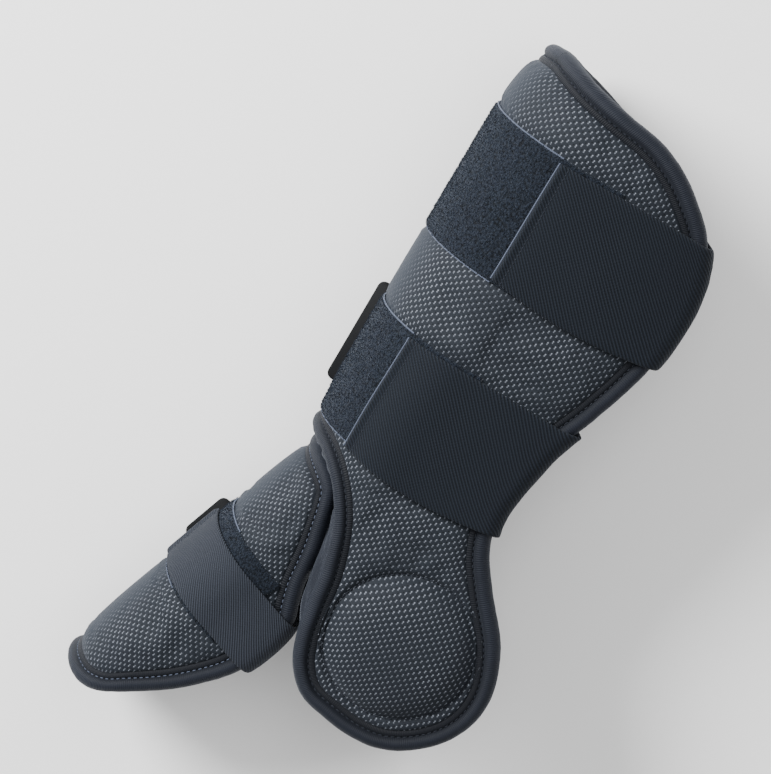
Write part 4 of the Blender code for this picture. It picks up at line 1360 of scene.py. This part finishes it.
class LEGGUARD_OT_edges(bpy.types.Operator):
    """Make the rolled edges round both guards"""

    bl_idname = "leg_guard.edges"
    bl_label = "Rolled edges"

    def execute(self, context):
        shin, foot = shin_skin(), foot_skin()
        for name, skin, loop, node, seed in (
            ("shin_rolled_edge", shin, shin_loop(shin, ROLL_STEP), "shin_binding", 2.0),
            ("foot_rolled_edge", foot, foot_loop(foot, ROLL_STEP), "foot_binding", 9.0),
        ):
            thing = roll_piece(name, skin, loop, [cloth("roll_knit")], seed)
            finish_piece(thing, node, node)
        return {"FINISHED"}


class LEGGUARD_OT_cup(bpy.types.Operator):
    """Make the round cup over the ankle"""

    bl_idname = "leg_guard.cup"
    bl_label = "Ankle cup"

    def execute(self, context):
        shin = shin_skin()
        thing = cup_piece("ankle_cup_cloth", shin, cup_centre(shin), [cloth("spacer_mesh")])
        finish_piece(thing, "ankle_cup", "ankle_cup")
        return {"FINISHED"}


class LEGGUARD_OT_panels(bpy.types.Operator):
    """Make the loop panels that the straps fasten to"""

    bl_idname = "leg_guard.panels"
    bl_label = "Loop panels"

    def execute(self, context):
        pile = context.scene.guard_sizes.pile / MM
        shin, foot = shin_skin(), foot_skin()
        jobs = []
        half = CALF_STRAP_WIDTH / 2
        for word, middle, near, panel_depth, _, _, _ in CALF_STRAPS:
            low, high = middle * SHIN_LENGTH - half, middle * SHIN_LENGTH + half
            v_range = (low - PANEL_MARGIN if word == "upper" else low + LOWER_PANEL_INSET,
                       high + PANEL_MARGIN)
            end = shin.girth(1, panel_depth * SHIN_DEPTH, middle * SHIN_LENGTH)
            thread_end = shin.girth(1, near * SHIN_DEPTH, middle * SHIN_LENGTH)
            jobs.append((word + "_loop_panel", shin, (-shin.quarter - 15, end), v_range,
                         thread_end))
        low = FOOT_STRAP_SHARE * FOOT_LENGTH
        end = foot.girth(1, 0.66 * FOOT_DEPTH, low)
        jobs.append(("foot_loop_panel", foot, (-foot.quarter, end),
                     (low - FOOT_PANEL_PAST, low + FOOT_STRAP_WIDTH + PANEL_MARGIN),
                     0.55 * foot.quarter))
        for seed, (node, skin, g_range, v_range, thread_end) in enumerate(jobs):
            thing, tufts = panel_piece(node + "_cloth", skin, g_range, v_range, pile,
                                       [cloth("looped_pile")], 20.0 + seed)
            finish_piece(thing, node, node)
            finish_piece(grown(tufts, pile_tree(), cloth("looped_pile")), node)
            lines = []
            gs = np.arange(g_range[0] + 2, thread_end, 2.0)
            for v, side in ((v_range[0], -1), (v_range[1], 1)):
                vs = np.full(len(gs), v + side * 0.1)
                out = skin.normal(gs, vs)
                lines.append((skin.lift(gs, vs, np.full(len(gs), 0.95)), out, False))
            stitch_piece(node + "_hem_thread", lines, cloth("light_thread"), node, 1.0, 1.6, 1.05)
        return {"FINISHED"}


class LEGGUARD_OT_straps(bpy.types.Operator):
    """Make the elastic straps, their hems and the stiff tabs at their far ends"""

    bl_idname = "leg_guard.straps"
    bl_label = "Straps and tabs"

    def execute(self, context):
        sizes = context.scene.guard_sizes
        shin, foot = shin_skin(), foot_skin()
        half = CALF_STRAP_WIDTH / 2
        jobs = []
        for word, middle, near, panel, tab, top_bow, low_bow in CALF_STRAPS:
            v = middle * SHIN_LENGTH
            ends = ((tab + 0.13) * SHIN_DEPTH, (tab + 0.26) * SHIN_DEPTH, tab * SHIN_DEPTH)
            jobs.append((word + "_calf_strap", word + "_strap_tab", shin,
                         shin_loop(shin, OUTLINE_STEP), v - half, v + half,
                         shin.girth(1, near * SHIN_DEPTH, v),
                         shin.girth(1, panel * SHIN_DEPTH, v), ends, (top_bow, low_bow), 0.0,
                         "calf_elastic"))
        low = FOOT_STRAP_SHARE * FOOT_LENGTH
        ends = (0.09 * FOOT_DEPTH, 0.32 * FOOT_DEPTH, -0.06 * FOOT_DEPTH)
        jobs.append(("foot_strap", "foot_strap_tab", foot, foot_loop(foot, OUTLINE_STEP), low,
                     low + FOOT_STRAP_WIDTH, 0.03 * foot.quarter,
                     foot.girth(1, 0.58 * FOOT_DEPTH, low), ends, (0.0, 0.0), 3.0, "foot_elastic"))
        for seed, job in enumerate(jobs):
            node, tab_node, skin, loop, low, high, near_g, panel_g, ends, bows, shift, mat = job
            thing, outer, inner, far = strap_piece(
                node + "_elastic", skin, loop, low, high, near_g, ends[0], panel_g, bows,
                sizes.strap_thick / MM, sizes.hem / MM, [cloth(mat)], 40.0 + seed)
            finish_piece(thing, node, node)
            z = inner[0][-1][2] - 0.1
            tab = tab_piece(tab_node + "_plate", skin, low + 3 + shift, high - 3 + shift, z + GAP,
                            ends[2], ends[1], [cloth("stiff_tab")])
            finish_piece(tab, tab_node, tab_node)
            near_edge = (outer[:, 0] + inner[:, 0]) / 2
            facing = outer[:, 3] - inner[:, 3]
            facing /= np.linalg.norm(facing, axis=1, keepdims=True)
            # Stitches in the light thread along the strap's near end: they are thread, and their
            # light line is also a painted highlight on the hem's ridge.
            lines = [(near_edge[1:-1] + facing[1:-1] * 0.9, facing[1:-1], False)]
            stitch_piece(node + "_end_highlight_thread", lines, cloth("light_thread"), node, 1.0, 1.5, 1.1)
            column = int(np.searchsorted(far, sizes.hem / MM + 0.4))
            fold = [(outer[2:-2, column] + facing[2:-2] * 0.05, facing[2:-2], False)]
            stitch_piece(node + "_hem_thread", fold, cloth("dark_thread"), node, 2.4, 1.7, 0.55)
        return {"FINISHED"}


class LEGGUARD_OT_gusset(bpy.types.Operator):
    """Make the stretch cloth between the shin and foot guards"""

    bl_idname = "leg_guard.gusset"
    bl_label = "Ankle gusset"

    def execute(self, context):
        shin, foot = shin_skin(), foot_skin()
        thing, size = gusset_piece("ankle_gusset_cloth", shin, shin_loop(shin, OUTLINE_STEP), foot,
                                   foot_loop(foot, OUTLINE_STEP), [cloth("stretch_cloth")])
        finish_piece(thing, "ankle_gusset", "ankle_gusset")
        return {"FINISHED"}


class LEGGUARD_OT_stitching(bpy.types.Operator):
    """Lay the seams: along the rolled edges and round the cup"""

    bl_idname = "leg_guard.stitching"
    bl_label = "Seams"

    def execute(self, context):
        pitch = context.scene.guard_sizes.stitch_pitch / MM
        shin, foot = shin_skin(), foot_skin()
        for node, skin, loop in (("shin_binding", shin, shin_loop(shin, OUTLINE_STEP)),
                                 ("foot_binding", foot, foot_loop(foot, OUTLINE_STEP))):
            at = loop - loop_out(loop) * 8.9
            out = skin.normal(*at.T)
            line = (skin.lift(*at.T, np.full(len(at), -0.45)), out, True)
            thread = cloth("light_thread" if node == "foot_binding" else "dark_thread")
            stitch_piece(node + "_seam", [line], thread, node, pitch, pitch * 0.72, 0.6)
        centre = cup_centre(shin)
        turn = np.linspace(0, 2 * math.pi, 90, endpoint=False)
        at = centre + np.stack([np.cos(turn), np.sin(turn)], 1) * (CUP_RADIUS + 1.9)
        line = (shin.lift(*at.T, np.full(len(at), -1.0)), shin.normal(*at.T), True)
        stitch_piece("ankle_cup_seam", [line], cloth("dark_thread"), "ankle_cup", pitch * 0.8,
                     pitch * 0.6, 0.6)
        return {"FINISHED"}


class LEGGUARD_OT_stage(bpy.types.Operator):
    """Make the floor, the lights and the camera"""

    bl_idname = "leg_guard.stage"
    bl_label = "Floor, light and camera"

    def execute(self, context):
        scene = context.scene
        stage = scene.guard_stage
        half = 6.0
        mesh = bpy.data.meshes.new("floor")
        corners = [(-half, -half, 0), (half, -half, 0), (half, half, 0), (-half, half, 0)]
        mesh.from_pydata(corners, [], [(0, 1, 2, 3)])
        floor = bpy.data.objects.new("floor", mesh)
        scene.collection.objects.link(floor)
        mat = bpy.data.materials.new("plain_floor")
        mat.use_nodes = True
        shader = mat.node_tree.nodes["Principled BSDF"]
        shader.inputs["Base Color"].default_value = (*stage.floor, 1)
        shader.inputs["Roughness"].default_value = 0.9
        shader.inputs["Specular IOR Level"].default_value = 0.1
        mesh.materials.append(mat)

        world = bpy.data.worlds.new("soft_surround")
        world.use_nodes = True
        world.node_tree.nodes["Background"].inputs["Color"].default_value = (1, 1, 1, 1)
        world.node_tree.nodes["Background"].inputs["Strength"].default_value = stage.world
        scene.world = world

        tilt, roll = stage.tilt, stage.roll
        leg_up = Vector((0, math.cos(tilt), -math.sin(tilt)))
        leg_back = Vector((1, 0, 0))
        sight = Vector((0, math.sin(tilt), math.cos(tilt)))
        right = leg_back * math.cos(roll) + leg_up * math.sin(roll)
        up = leg_back * -math.sin(roll) + leg_up * math.cos(roll)
        target = Vector((SHIFT * MM).tolist())
        lens = bpy.data.cameras.new("camera")
        lens.lens = stage.lens
        lens.sensor_width = 36.0
        lens.clip_end = 50.0
        camera = bpy.data.objects.new("camera", lens)
        scene.collection.objects.link(camera)
        turn = Matrix((right, up, sight)).transposed().to_4x4()
        camera.matrix_world = Matrix.Translation(target + sight * stage.distance) @ turn
        scene.camera = camera

        # Columns: name, towards the photograph's right, its top and the camera, size, power
        for name, x, y, z, size, power in (
            ("key", -1.15, 0.95, 1.15, 0.9, stage.key_power),
            ("fill", 0.5, 0.2, 1.9, 1.6, stage.fill_power),
        ):
            light = bpy.data.lights.new(name, "AREA")
            light.shape = "DISK"
            light.size = size
            light.energy = power
            lamp = bpy.data.objects.new(name, light)
            scene.collection.objects.link(lamp)
            lamp.location = target + right * x + up * y + sight * z
            lamp.rotation_mode = "QUATERNION"
            lamp.rotation_quaternion = (lamp.location - target).to_track_quat("Z", "Y")
        return {"FINISHED"}


class LEGGUARD_PT_panel(bpy.types.Panel):
    """Lists the steps that build the leg guard"""

    bl_idname = "LEGGUARD_PT_panel"
    bl_label = "Leg Guard"
    bl_space_type = "VIEW_3D"
    bl_region_type = "UI"
    bl_category = "Leg Guard"

    def draw(self, context):
        layout = self.layout
        for group in ("guard_sizes", "guard_colours", "guard_stage"):
            settings = getattr(context.scene, group)
            box = layout.box()
            for key in settings.bl_rna.properties.keys():
                if key not in ("name", "rna_type"):
                    box.prop(settings, key)
        for step in STEPS:
            layout.operator(step.bl_idname)


STEPS = (
    LEGGUARD_OT_stage,
    LEGGUARD_OT_covers,
    LEGGUARD_OT_edges,
    LEGGUARD_OT_cup,
    LEGGUARD_OT_panels,
    LEGGUARD_OT_straps,
    LEGGUARD_OT_gusset,
    LEGGUARD_OT_stitching,
)
SETTINGS = (
    ("guard_sizes", GuardSizes),
    ("guard_colours", GuardColours),
    ("guard_stage", StageSettings),
)


def register():
    for name, group in SETTINGS:
        bpy.utils.register_class(group)
        setattr(bpy.types.Scene, name, PointerProperty(type=group))
    for step in (*STEPS, LEGGUARD_PT_panel):
        bpy.utils.register_class(step)


def unregister():
    for step in (*STEPS, LEGGUARD_PT_panel):
        bpy.utils.unregister_class(step)
    for name, group in SETTINGS:
        delattr(bpy.types.Scene, name)
        bpy.utils.unregister_class(group)


def main():
    register()
    bpy.ops.leg_guard.stage()
    bpy.ops.leg_guard.covers()
    bpy.ops.leg_guard.edges()
    bpy.ops.leg_guard.cup()
    bpy.ops.leg_guard.panels()
    bpy.ops.leg_guard.straps()
    bpy.ops.leg_guard.gusset()
    bpy.ops.leg_guard.stitching()
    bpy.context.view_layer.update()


if __name__ == "__main__":
    main()
